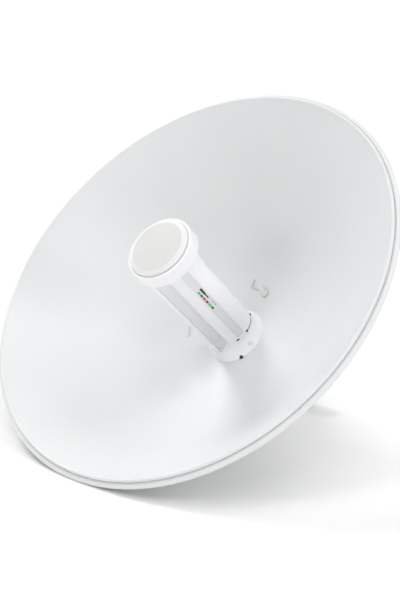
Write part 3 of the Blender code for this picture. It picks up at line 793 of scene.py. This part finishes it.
def feed_rings():
    """Sections of the feed from the spigot's foot to the ring's head."""
    spigot = round_section(TUBE_FOOT, SPIGOT_RADIUS)
    rings = [at_height(spigot, SPIGOT_FOOT), at_height(spigot, TUBE_FOOT)]
    for height in [TUBE_FOOT] + TUBE_LEVELS + [NECK_FOOT] + NECK_LEVELS + [RING_FOOT]:
        rings.append(at_height(flared(tube_section(height), neck_share(height)), height))
    for radius, height in ring_edges():
        rings.append(at_height(round_section(RING_FOOT, radius), height))
    return rings


def corner_cut(share, length, radius):
    """How far a rounded corner at the head takes the edge in, this share of the length from the foot."""
    above = radius - (1 - share) * length
    if above <= 0:
        return 0.0
    return radius - math.sqrt(max(radius**2 - above**2, 0.0))


def flank_slab(side, grow, near, far):
    """Slab that follows a flank of the keel, between two depths below its surface. Its ends slant."""
    foot = [level - grow for level in DOOR_FOOT]
    head = [level + grow for level in DOOR_HEAD]
    length = head[0] - foot[0]
    straight = 1 - DOOR_CORNER / length
    shares = [straight * step / 20 for step in range(21)]
    shares += [straight + (1 - straight) * math.sin(math.pi / 2 * step / 10) for step in range(1, 11)]
    rings = []
    for share in shares:
        levels = [low + (high - low) * share for low, high in zip(foot, head)]
        root = keel_edges(levels[0])[0]
        corner = keel_edges(levels[1])[1]
        along = (corner - root).normalized()
        inward = Vector((along.y, -along.x))
        cut = corner_cut(share, length, DOOR_CORNER)
        upper = root + along * (DOOR_MARGIN - grow + cut)
        lower = corner - along * (DOOR_MARGIN - grow + DOOR_LOWER_INSET)
        ring = []
        for edge, depth, level in ((upper, near, 0), (upper, far, 0), (lower, far, 1), (lower, near, 1)):
            point = edge + inward * depth
            ring.append((side * point.x, point.y, levels[level]))
        rings.append(ring)
    return lofted(rings)


def on_flank(share, height, depth):
    """A point on the keel's right flank: share down from the tube to the corner, depth below the surface."""
    root, corner = keel_edges(height)
    along = (corner - root).normalized()
    point = root + (corner - root) * share + Vector((along.y, -along.x)) * depth
    return point.x, point.y, height


def on_strip(side, depth, drop, height):
    """A point over the side strip: depth out from the axis, drop below the strip's middle line."""
    turn = math.radians(STRIP_ANGLE)
    outward = Vector((side * math.cos(turn), -math.sin(turn), 0))
    down = Vector((-side * math.sin(turn), -math.cos(turn), 0))
    return outward * depth + down * drop + Vector((0, 0, height))


def soft_box(half, foot, head, radius, steps):
    """Outline of a box with round corners that reaches half to either side."""
    outline = arc((half - radius, foot + radius), radius, -90, 0, steps)
    outline += arc((half - radius, head - radius), radius, 0, 90, steps)
    outline += arc((radius - half, head - radius), radius, 90, 180, steps)
    return outline + arc((radius - half, foot + radius), radius, 180, 270, steps)


def strip_slab(side, grow, near, far):
    """Slab of the side strip, between two distances from the axis, with small round corners."""
    outline = soft_box(STRIP_WIDTH / 2 + grow, STRIP_FOOT - grow, STRIP_HEAD + grow, STRIP_CORNER + grow, 4)
    rings = [[on_strip(side, depth, drop, height) for drop, height in outline] for depth in (near, far)]
    return lofted(rings)


def make_feed_body():
    """Tube, neck and ring in one moulding, with pockets for the strips and doors."""
    body = make("feed_housing", lofted(feed_rings()), "white_plastic", ["feed_body"], 25)
    pockets = []
    floor = STRIP_FACE - STRIP_THICKNESS - POCKET_GAP
    for side in (1, -1):
        pockets.append(flank_slab(side, POCKET_GAP, -CLEARANCE, DOOR_POCKET))
        pockets.append(strip_slab(side, POCKET_GAP, floor, floor + 2 * CLEARANCE))
    carve(body, pockets, 25)


def lid_profile():
    """Section of the lid: its foot, its side, the sloping band and the slightly domed face."""
    foot = RING_HEAD - RECESS_DEPTH + GAP
    profile = [(0, foot), (CAP_RADIUS - CAP_FOOT_EDGE, foot), (CAP_RADIUS, foot + CAP_FOOT_EDGE)]
    profile += arc((CAP_RADIUS - CAP_EDGE, CAP_BAND_FOOT - CAP_EDGE), CAP_EDGE, *CAP_EDGE_SWEEP, 6)
    slope = (CAP_HEAD - CAP_BAND_FOOT) / (CAP_RADIUS - CAP_BAND_RADIUS)
    crease = (CAP_BAND_RADIUS + CAP_CREASE, CAP_HEAD - CAP_CREASE * slope)
    face = CAP_HEAD + CAP_FACE_RISE
    profile += rounded(crease, (CAP_BAND_RADIUS, CAP_HEAD), (CAP_FACE_EDGE, face), 5)
    for step in range(9, -1, -1):
        share = step / 10
        profile.append((CAP_FACE_RADIUS * share, face + CAP_DOME * (1 - share**2)))
    return profile


def make_feed_cap():
    """Lid whose sloping band about its warm face is painted paler as a highlight, set down into the ring."""
    lid = make("feed_lid", spun(lid_profile(), 120), "cap_plastic", ["feed_cap"])
    # Faces on the sloping band take the paler finish, a painted highlight.
    lid.data.materials.append(FINISHES["cap_band_highlight"])
    to_dish = DISH.inverted()
    for face in lid.data.polygons:
        if (to_dish @ face.center).xy.length > CAP_BAND_RADIUS:
            face.material_index = 1


def make_doors():
    """Doors in the keel's flanks, with three rows of grip pits at the foot."""
    for side, word in ((1, "right"), (-1, "left")):
        slab = flank_slab(side, 0, DOOR_SINK, DOOR_SINK + DOOR_THICKNESS)
        door = make(f"port_panel_{word}", slab, "grey_plastic", [f"port_door_{word}"])
        soften(door, DOOR_EDGE)
        pits = []
        for height in GRIP_HEIGHTS:
            for share in GRIP_SHARES:
                x, y, level = on_flank(share, height - GRIP_SLANT * share, DOOR_SINK)
                pits.append(ball(GRIP_RADIUS, (side * x, y, level)))
        carve(door, pits)


def make_strips():
    """Strips sunk in the tube's sides."""
    for side, name, node_name in ((1, "status_panel", "status_strip"), (-1, "flank_panel", "flank_strip")):
        slab = strip_slab(side, 0, STRIP_FACE - STRIP_THICKNESS, STRIP_FACE)
        soften(make(name, slab, "grey_plastic", [node_name]), STRIP_EDGE)


def pad_on_strip(drop, height, half_width, half_length, lift=0.12):
    """A small flat pad with round ends on the right strip."""
    outline = soft_box(half_width, -half_length, half_length, min(half_width, half_length), 5)
    rings = []
    for rise, scale in ((-PAD_ROOT, 1.0), (lift * PAD_WALL, 1.0), (lift, PAD_CROWN)):
        points = [(drop + x * scale, height + y * scale) for x, y in outline]
        rings.append([on_strip(1, STRIP_FACE + rise, down, level) for down, level in points])
    return lofted(rings)


def make_status_bar():
    """Dark bar on the right strip, a thin line and a wider block beside it."""
    line = pad_on_strip(drop=-1.4, height=-2.0, half_width=0.6, half_length=7.6)
    block = pad_on_strip(drop=-1.5, height=1.2, half_width=1.05, half_length=4.6, lift=0.14)
    make("status_bar", merged([line, block]), "black_rubber")


def make_status_lights():
    """A row of small coloured light windows on the right strip, and two ticks further down."""
    windows = {name: light_window("light_" + name, colour) for name, colour in LIGHT_COLOURS.items()}
    for number, colour in enumerate(STATUS_LIGHTS):
        height = LIGHTS_HEAD - LIGHT_PITCH * number
        pad = pad_on_strip(LIGHT_DROP, height, half_width=1.0, half_length=2.1, lift=0.2)
        lamp = make(f"status_light_{number + 1}", pad, "grey_plastic")
        lamp.data.materials[0] = windows[colour]
    for number, height in enumerate(TICK_HEIGHTS, 1):
        pad = pad_on_strip(TICK_DROP, height, half_width=0.4, half_length=0.9, lift=0.15)
        tick = make(f"status_tick_{number}", pad, "grey_plastic")
        tick.data.materials[0] = windows["dark_green"]


def socket_foot():
    """The foot's outline, a circle below the axis, at the same angles as the tube's section."""
    points = []
    for x, y in tube_section(TUBE_FOOT):
        radius = math.hypot(x, y)
        across = SOCKET_FOOT_DROP * x / radius
        along = -SOCKET_FOOT_DROP * y / radius
        reach = along + math.sqrt(SOCKET_FOOT_RADIUS**2 - across**2)
        points.append((x * reach / radius, y * reach / radius))
    return points


def neck_segment(slot, inner, outer):
    """Ring segment around the base's neck, between two distances from the axis."""
    start, end, half, pointed = slot
    rings = []
    steps = int((end - start) / SLOT_STEP)
    for step in range(steps + 1):
        share = step / steps
        tall = half * max(1 - abs(2 * share - 1), SLOT_TIP) if pointed else half
        corners = ((inner, -tall), (outer, -tall), (outer, tall), (inner, tall))
        angle = start + (end - start) * share
        rings.append([around(angle, reach, SLOT_HEIGHT + level) for reach, level in corners])
    return lofted(rings)


def socket_rings():
    """Sections of the base, from its head down its outside and back up through its bore."""
    head = TUBE_FOOT - JOINT
    bore = round_section(TUBE_FOOT, SPIGOT_RADIUS + GAP)
    neck_radius = HUB_HOLE_RADIUS - GAP
    neck = round_section(TUBE_FOOT, neck_radius)
    foot = socket_foot()
    rings = [at_height(bore, head)]
    for inset, drop in SOCKET_HEAD_EDGE:
        ring = []
        for x, y in tube_section(TUBE_FOOT):
            scale = 1 + (SOCKET_LEDGE - inset) / math.hypot(x, y)
            ring.append((x * scale, y * scale, head - drop))
        rings.append(ring)
    top = rings[-1]
    for step in range(1, SOCKET_RINGS + 1):
        share = step / SOCKET_RINGS
        spread = share**SOCKET_FLARE
        ring = []
        for (x, y, height), (foot_x, foot_y) in zip(top, foot):
            low = surface(math.hypot(foot_x, foot_y)) + SOCKET_EDGE
            level = height + (low - height) * share
            ring.append((x + (foot_x - x) * spread, y + (foot_y - y) * spread, level))
        rings.append(ring)
    rings.append([(x, y, surface(math.hypot(x, y)) + JOINT) for x, y in foot])
    rings += [at_height(neck, surface(neck_radius) + GAP), at_height(neck, HUB_BACK + GAP)]
    return rings + [at_height(bore, HUB_BACK + GAP)]


def make_socket():
    """Base in the dish's centre, with a flared foot on its face, slots in its neck and round marks; black
    pieces paint shade into the slots.
    """
    base = make("feed_base", lofted(socket_rings(), closed=True), "white_plastic", ["feed_socket"], 30)
    slot_floor = SOCKET_NECK_RADIUS - SLOT_DEPTH
    cuts = [flank_slab(side, POCKET_GAP, -CLEARANCE, DOOR_POCKET) for side in (1, -1)]
    cuts += [neck_segment(slot, slot_floor, SOCKET_NECK_RADIUS + SLOT_CLEARANCE) for slot in JOINT_SLOTS]
    cuts += [ball(HOLLOW_RADIUS, around(*HOLLOW_PLACE)), ball(DOT_PIT_RADIUS, around(*DOT_PIT_PLACE))]
    carve(base, cuts, 30)
    # Black inserts in the neck's slots and balls at the first slot's ends are painted shade in those gaps;
    # one more black ball sits in the dot's pit.
    shade_insert_back = slot_floor - SHADE_INSERT_ROOT
    shade_inserts = [neck_segment(slot, shade_insert_back, SOCKET_NECK_RADIUS - SHADE_INSERT_SINK) for slot in JOINT_SLOTS]
    shade_inserts += [ball(SLOT_END_RADIUS, around(angle, slot_floor, SLOT_HEIGHT)) for angle in JOINT_SLOTS[0][:2]]
    shade_inserts.append(ball(DOT_RADIUS, around(*DOT_PLACE)))
    make("base_slot_shade_inserts", merged(shade_inserts), "black_rubber")


# Bolts and nuts

def hex_reach(radius, angle):
    """Distance from the middle of a hexagon to its edge, corners at this radius."""
    turn = math.pi / 3
    within = (angle + turn / 2) % turn - turn / 2
    return radius * math.cos(turn / 2) / math.cos(turn / 2 - abs(within))


def nut_shape():
    """A nut from Z = 0 up, its corners turned down at both ends."""
    corner = 2 * BOLT_RADIUS

    def sides(radius, height, angle):
        if radius < corner:
            return radius
        near_end = min(height, NUT_HEIGHT - height)
        limit = corner - max(NUT_EDGE - near_end, 0) * NUT_CORNER_SLOPE
        return min(hex_reach(corner, angle), limit)

    rises = [0, NUT_EDGE / 2, NUT_EDGE, 3 * NUT_EDGE]
    profile = [(corner, rise) for rise in rises] + [(corner, NUT_HEIGHT - rise) for rise in rises[::-1]]
    profile += [(NUT_BORE_RADIUS + NUT_EDGE, NUT_HEIGHT), (NUT_BORE_RADIUS, NUT_HEIGHT - NUT_EDGE)]
    profile += [(NUT_BORE_RADIUS, NUT_EDGE), (NUT_BORE_RADIUS + NUT_EDGE, 0)]
    return spun(profile, 72, sides)


def bolt_ring(height, reaches):
    """A level ring of a bolt, from the distance of each of its points."""
    places = zip(BOLT_ANGLES, reaches)
    return [(reach * math.cos(angle), reach * math.sin(angle), height) for angle, reach in places]


def circle(height, radius):
    return bolt_ring(height, [radius] * BOLT_POINTS)


def socket_hexagon(height):
    return bolt_ring(height, [hex_reach(BOLT_SOCKET_RADIUS, angle) for angle in BOLT_ANGLES])


def threaded(radius, start, end):
    """Rings of a threaded rod along Z, from start to end, a little thinner at its end."""
    rings = []
    steps = int(abs(end - start) / THREAD_PITCH * THREAD_RINGS_A_TURN)
    for height in even_steps(start, end, steps):
        close = min(abs(height - end), THREAD_RUN_IN) / THREAD_RUN_IN
        crest = radius - THREAD_TAPER * (1 - close)
        phases = [(height / THREAD_PITCH + index / BOLT_POINTS) % 1 for index in range(BOLT_POINTS)]
        rings.append(bolt_ring(height, [crest - THREAD_DEPTH * abs(2 * phase - 1) for phase in phases]))
    return rings


def bolt_shape(head_radius, under_head, direction, thread_from, end):
    """A bolt along Z: socket head, plain shank, threaded end. direction is 1 or -1, from head to end."""
    radius = BOLT_RADIUS - BOLT_SLACK
    top = under_head - direction * BOLT_HEAD_HEIGHT
    rings = [socket_hexagon(top + direction * depth) for depth in (BOLT_SOCKET_DEPTH, BOLT_EDGE)]
    rings.append(circle(top, BOLT_SOCKET_RADIUS + BOLT_SOCKET_BEVEL))
    rings += [circle(top + direction * drop, head_radius - inset) for inset, drop in BOLT_CROWN]
    rings.append(circle(under_head - direction * BOLT_EDGE, head_radius))
    rings += [circle(under_head, reach) for reach in (head_radius - BOLT_EDGE, radius)]
    return lofted(rings + [circle(thread_from, radius)] + threaded(radius, thread_from, end))


# Rear

def hub_front(radius):
    """Height of the hub ring's front at this radius, just behind the dish's sheet."""
    slope = math.atan(radius / (2 * FOCAL_LENGTH))
    return surface(radius) - SHEET / math.cos(slope) - GAP


def make_rear_hub():
    """Ring that spreads the bracket's load over the back of the dish, with shallow pockets between ribs."""
    profile = [(radius, hub_front(radius)) for radius in even_steps(HUB_HOLE_RADIUS, HUB_RADIUS, 14)]
    corner = (HUB_RADIUS, HUB_BACK)
    profile += rounded((HUB_RADIUS, HUB_BACK + HUB_EDGE), corner, (HUB_RADIUS - HUB_EDGE, HUB_BACK), 8)
    profile.append((HUB_HOLE_RADIUS, HUB_BACK))
    hub = make("rear_mount_ring", spun(profile, 144), "white_plastic", ["rear_hub"])
    half = 180 / HUB_POCKETS - HUB_RIB_HALF_ANGLE
    outline = arc((0, 0), HUB_POCKET_OUTSIDE, -half, half, 6) + arc((0, 0), HUB_POCKET_INSIDE, half, -half, 6)
    pockets = []
    for index in range(HUB_POCKETS):
        slab = extruded(at_height(outline, 0), (0, 0, HUB_BACK - 1), (0, 0, 1 + HUB_POCKET_DEPTH))
        pockets.append(moved(slab, turn=(0, 0, 360 * index / HUB_POCKETS)))
    carve(hub, pockets)
    soften(hub, HUB_RIM_EDGE, 1)


def housing_profile(front, back):
    """Section of the round cover: its rim, the groove in its back and the sunk disc in the middle."""
    groove = back + GROOVE_DEPTH
    disc = back + DISC_DEPTH
    profile = [(0, front), (HOUSING_RADIUS - HOUSING_EDGE, front), (HOUSING_RADIUS, front - HOUSING_EDGE)]
    profile += arc((HOUSING_RADIUS - HOUSING_CORNER, back + HOUSING_CORNER), HOUSING_CORNER, 0, -90, 8)
    profile += [(GROOVE_OUTSIDE, back), (GROOVE_OUTSIDE - GROOVE_DRAFT, groove)]
    profile += [(GROOVE_INSIDE + GROOVE_DRAFT, groove), (GROOVE_INSIDE, back)]
    return profile + [(DISC_RADIUS, back), (DISC_RADIUS - GROOVE_DRAFT, disc), (0, disc)]


def make_cover_screw(number, place):
    """A cross-slotted screw at this place on the cover's back."""
    screw = make(f"cover_screw_{number}", moved(spun(SCREW_SECTION, 32), shift=place), "bolt_steel")
    long, short = SCREW_HALF_SLOT
    slots = []
    for turn in (0, 90):
        outline = [(-long, -short, 0), (long, -short, 0), (long, short, 0), (-long, short, 0)]
        slot = extruded(outline, (0, 0, -1), (0, 0, 1 + SCREW_SLOT_FLOOR))
        slots.append(moved(slot, turn=(0, 0, turn + SCREW_TURN * number), shift=place))
    carve(screw, slots)


def make_rear_housing():
    """Round back cover with a groove and three sunk screws."""
    front = HUB_BACK - GAP
    back = front - HOUSING_DEPTH
    cover = make("rear_cover", spun(housing_profile(front, back), 120), "white_plastic", ["rear_housing"])
    places = [around(angle, SCREW_REACH, back) for angle in SCREW_ANGLES]
    carve(cover, [moved(pin(SCREW_HOLE_RADIUS, -1, SCREW_HOLE_DEPTH), shift=place) for place in places])
    for number, place in enumerate(places, 1):
        make_cover_screw(number, place)


def make_gland():
    """Cable inlet: a hexagonal body, a fluted nut and a rubber seal with its hole."""
    def sides(radius, height, angle):
        if height < GLAND_NUT_FOOT:
            return hex_reach(GLAND_HEX_RADIUS, angle)
        if radius <= GLAND_SEAL[0][0]:
            return radius
        return radius - GLAND_FLUTE_DEPTH * (1 + math.cos(GLAND_FLUTES * angle))

    gland = spun(GLAND_BODY + GLAND_NUT + GLAND_SEAL, 72, sides)
    place = (0, -HUB_RADIUS - GAP, HUB_BACK + GLAND_OFFSET)
    make("cable_inlet", moved(gland, turn=(90, 0, 0), shift=place), "black_rubber", ["cable_gland"])


def make_standoffs():
    """Sleeves between hub and bracket, and the bolts that go through them."""
    front = HUB_BACK - GAP
    back = front - STANDOFF_LENGTH
    edge = STANDOFF_EDGE
    sleeve = [(STANDOFF_BORE, front), (STANDOFF_RADIUS - edge, front), (STANDOFF_RADIUS, front - edge)]
    sleeve += [(STANDOFF_RADIUS, back + edge), (STANDOFF_RADIUS - edge, back)]
    sleeve += [(STANDOFF_BORE + edge, back), (STANDOFF_BORE, back + edge)]
    under_head = BRACKET_WEB_BACK - GAP
    places = [(x * STANDOFF_REACH, y * STANDOFF_REACH) for x in (-1, 1) for y in (-1, 1)]
    for number, (x, y) in enumerate(places, 1):
        spacer = moved(spun(sleeve, 48), shift=(x, y, 0))
        make(f"spacer_{number}", spacer, "zinc_steel", [f"standoff_{number}"])
        bolt = bolt_shape(BOLT_HEAD_RADIUS, under_head, 1, under_head + PLATE_BOLT_SHANK, front - 1)
        bolt = moved(bolt, turn=(0, 0, PLATE_BOLT_TURN * number), shift=(x, y, 0))
        make(f"plate_screw_{number}", bolt, "bolt_steel", [f"plate_bolt_{number}"])


def dressed(name, node_name, slot, width):
    """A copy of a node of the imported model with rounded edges."""
    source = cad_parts[node_name]
    piece = placed(name, source.data.copy())
    piece.matrix_world = source.matrix_world
    shape = bmesh.new()
    shape.from_mesh(piece.data)
    bmesh.ops.remove_doubles(shape, verts=shape.verts, dist=0.00001)
    bmesh.ops.dissolve_limit(shape, angle_limit=math.radians(2), verts=shape.verts, edges=shape.edges)
    shape.to_mesh(piece.data)
    shape.free()
    recoat(piece, slot)
    shaded(piece.data, 30)
    soften(piece, width)
    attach(piece, "root")
    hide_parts(node_name)


def recoat(piece, slot):
    """Gives a piece one of the finishes instead of its own."""
    piece.data.materials.clear()
    piece.data.materials.append(FINISHES[slot])


def make_brackets():
    dressed("hub_plate", "mount_bracket", "zinc_steel", STEEL_EDGE)
    dressed("tilt_arm", "tilt_bracket", "zinc_steel", STEEL_EDGE)


def make_cross_bolts():
    """Pivot and lock bolt across the bracket's ears, with their nuts."""
    reach = EAR_OUTSIDE + GAP
    end = reach + CROSS_BOLT_TAIL
    for word, offset in (("pivot", PIVOT_OFFSET), ("lock", PIVOT_OFFSET + SLOT_RADIUS)):
        bolt = bolt_shape(BOLT_HEAD_RADIUS, -reach, 1, CROSS_BOLT_SHANK, end)
        bolt = moved(bolt, turn=(0, 90, 0), shift=(0, offset, CROSS_BOLT_HEIGHT))
        make(f"{word}_screw", bolt, "bolt_steel", [f"{word}_bolt"])
        nut = moved(nut_shape(), turn=(0, 90, 0), shift=(reach, offset, CROSS_BOLT_HEIGHT))
        make(f"{word}_hex_nut", nut, "bolt_steel", [f"{word}_nut"])


def toothed(start, end, count, depth):
    """Points of a saw-toothed line from start to end, its teeth cut to the right of it."""
    start = Vector(start)
    end = Vector(end)
    along = (end - start) / count
    side = Vector((along.y, -along.x)).normalized() * depth
    points = []
    for index in range(count):
        foot = start + along * index
        points += [tuple(foot), tuple(foot + along * VEE_TOOTH_CREST + side)]
    return points + [tuple(end)]


def clamp_block(name, node_name, face, apex, tips, direction):
    """Cast half of the clamp. face is its flat side, tips the height of its two shoulders."""
    wide = CLAMP_HALF_WIDTH
    vee_end = (VEE_APEX_HALF_WIDTH, apex + direction * VEE_APEX_RISE)
    right = [(wide, face), (wide, tips - direction * CAST_CHAMFER), (wide - CAST_CHAMFER, tips)]
    right += toothed((VEE_HALF_WIDTH, tips), vee_end, VEE_TEETH, VEE_TOOTH_DEPTH)
    outline = right + [(-x, z) for x, z in right[::-1]]
    points = [(x, 0, z) for x, z in outline]
    shape = extruded(points, (0, -CLAMP_HALF_HEIGHT, 0), (0, 2 * CLAMP_HALF_HEIGHT, 0))
    block = make(name, shape, "cast_metal", [node_name], 30)
    holes = []
    for side in (-1, 1):
        hole = pin(CLAMP_HOLE_RADIUS, -CLAMP_HOLE_REACH, CLAMP_HOLE_REACH)
        holes.append(moved(hole, shift=(side * CLAMP_BOLT_REACH, 0, tips)))
    carve(block, holes, 30)
    soften(block, CAST_EDGE)


def make_clamp():
    """Saddle and jaw about the mast, drawn together by two bolts."""
    depth = VEE_HALF_WIDTH * math.tan(math.radians(VEE_ANGLE))
    apex = SADDLE_FRONT - SADDLE_SKIN
    clamp_block("clamp_saddle", "mast_saddle", SADDLE_FRONT, apex, apex - depth, -1)
    apex = JAW_BACK + JAW_SKIN
    clamp_block("clamp_jaw", "mast_jaw", JAW_BACK, apex, apex + depth, 1)
    under_head = TILT_WEB_BACK + STEEL + GAP
    nut_face = JAW_BACK - GAP
    end = nut_face - NUT_HEIGHT - CLAMP_BOLT_TAIL
    for side, word in ((-1, "left"), (1, "right")):
        x = side * CLAMP_BOLT_REACH
        bolt = bolt_shape(CLAMP_BOLT_HEAD_RADIUS, under_head, -1, SADDLE_FRONT - CLAMP_BOLT_SHANK, end)
        make(f"clamp_screw_{word}", moved(bolt, shift=(x, 0, 0)), "bolt_steel", [f"clamp_bolt_{word}"])
        nut = moved(nut_shape(), shift=(x, 0, nut_face - NUT_HEIGHT))
        make(f"clamp_hex_nut_{word}", nut, "bolt_steel", [f"clamp_nut_{word}"])


def recoat_clips():
    """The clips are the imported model's own, in the lid's finish."""
    for number in (1, 2, 3):
        recoat(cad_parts[f"hub_clip_{number}"], "cap_plastic")


# Stage

def towards(compass, height):
    """Direction to a point at this compass angle from the front, and this height, in radians."""
    flat = math.cos(height)
    return Vector((math.sin(compass) * flat, -math.cos(compass) * flat, math.sin(height)))


def staged(name, data, direction):
    """A camera or light that looks back along this direction."""
    item = placed(name, data)
    item.rotation_euler = direction.to_track_quat("Z", "Y").to_euler()
    return item


def make_camera():
    back = towards(AZIMUTH, ELEVATION)
    right = Vector((math.cos(AZIMUTH), math.sin(AZIMUTH), 0))
    up = back.cross(right)
    target = SET_DOWN.translation + right * AIM_RIGHT + up * AIM_UP
    data = bpy.data.cameras.new("camera")
    data.lens = LENS
    camera = staged("camera", data, back)
    camera.location = target + back * CAMERA_DISTANCE
    bpy.context.scene.camera = camera


def make_suns():
    for name, (compasses, height, strength) in SUNS.items():
        for number, compass in enumerate(compasses, 1):
            data = bpy.data.lights.new(f"{name}_{number}", "SUN")
            data.energy = strength
            data.angle = math.radians(SUN_WIDTH)
            staged(f"{name}_{number}", data, towards(math.radians(compass), math.radians(height)))


def make_sky():
    world = bpy.data.worlds.new("studio_sky")
    world.use_nodes = True
    background = world.node_tree.nodes["Background"]
    background.inputs["Color"].default_value = (1, 1, 1, 1)
    background.inputs["Strength"].default_value = SKY
    bpy.context.scene.world = world


def floor_card():
    """Pale matt card."""
    return coated("floor_card", (0.95, 0.95, 0.95), (0.94, 0.94, 0.94),
                  roughness=(0.8, 0.9), grain=400, depth=0.02)


def make_floor():
    """A round sheet of pale card whose far edge curves up behind everything."""
    profile = [(0, 0), (FLOOR_FLAT / 6, 0)] + arc((FLOOR_FLAT, FLOOR_BEND), FLOOR_BEND, -90, -42, 8)
    shape = spun(profile, 96)
    mesh = bpy.data.meshes.new("floor")
    shape.to_mesh(mesh)
    shape.free()
    mesh.shade_smooth()
    mesh.materials.append(floor_card())
    floor = placed("floor", mesh)


make_camera()
make_reflector()
make_feed_body()
make_feed_cap()
make_doors()
make_strips()
make_status_bar()
make_status_lights()
make_socket()
make_rear_hub()
make_rear_housing()
make_gland()
make_standoffs()
make_brackets()
make_cross_bolts()
make_clamp()
recoat_clips()
make_floor()
make_suns()
make_sky()
bpy.context.scene.view_settings.view_transform = "Standard"
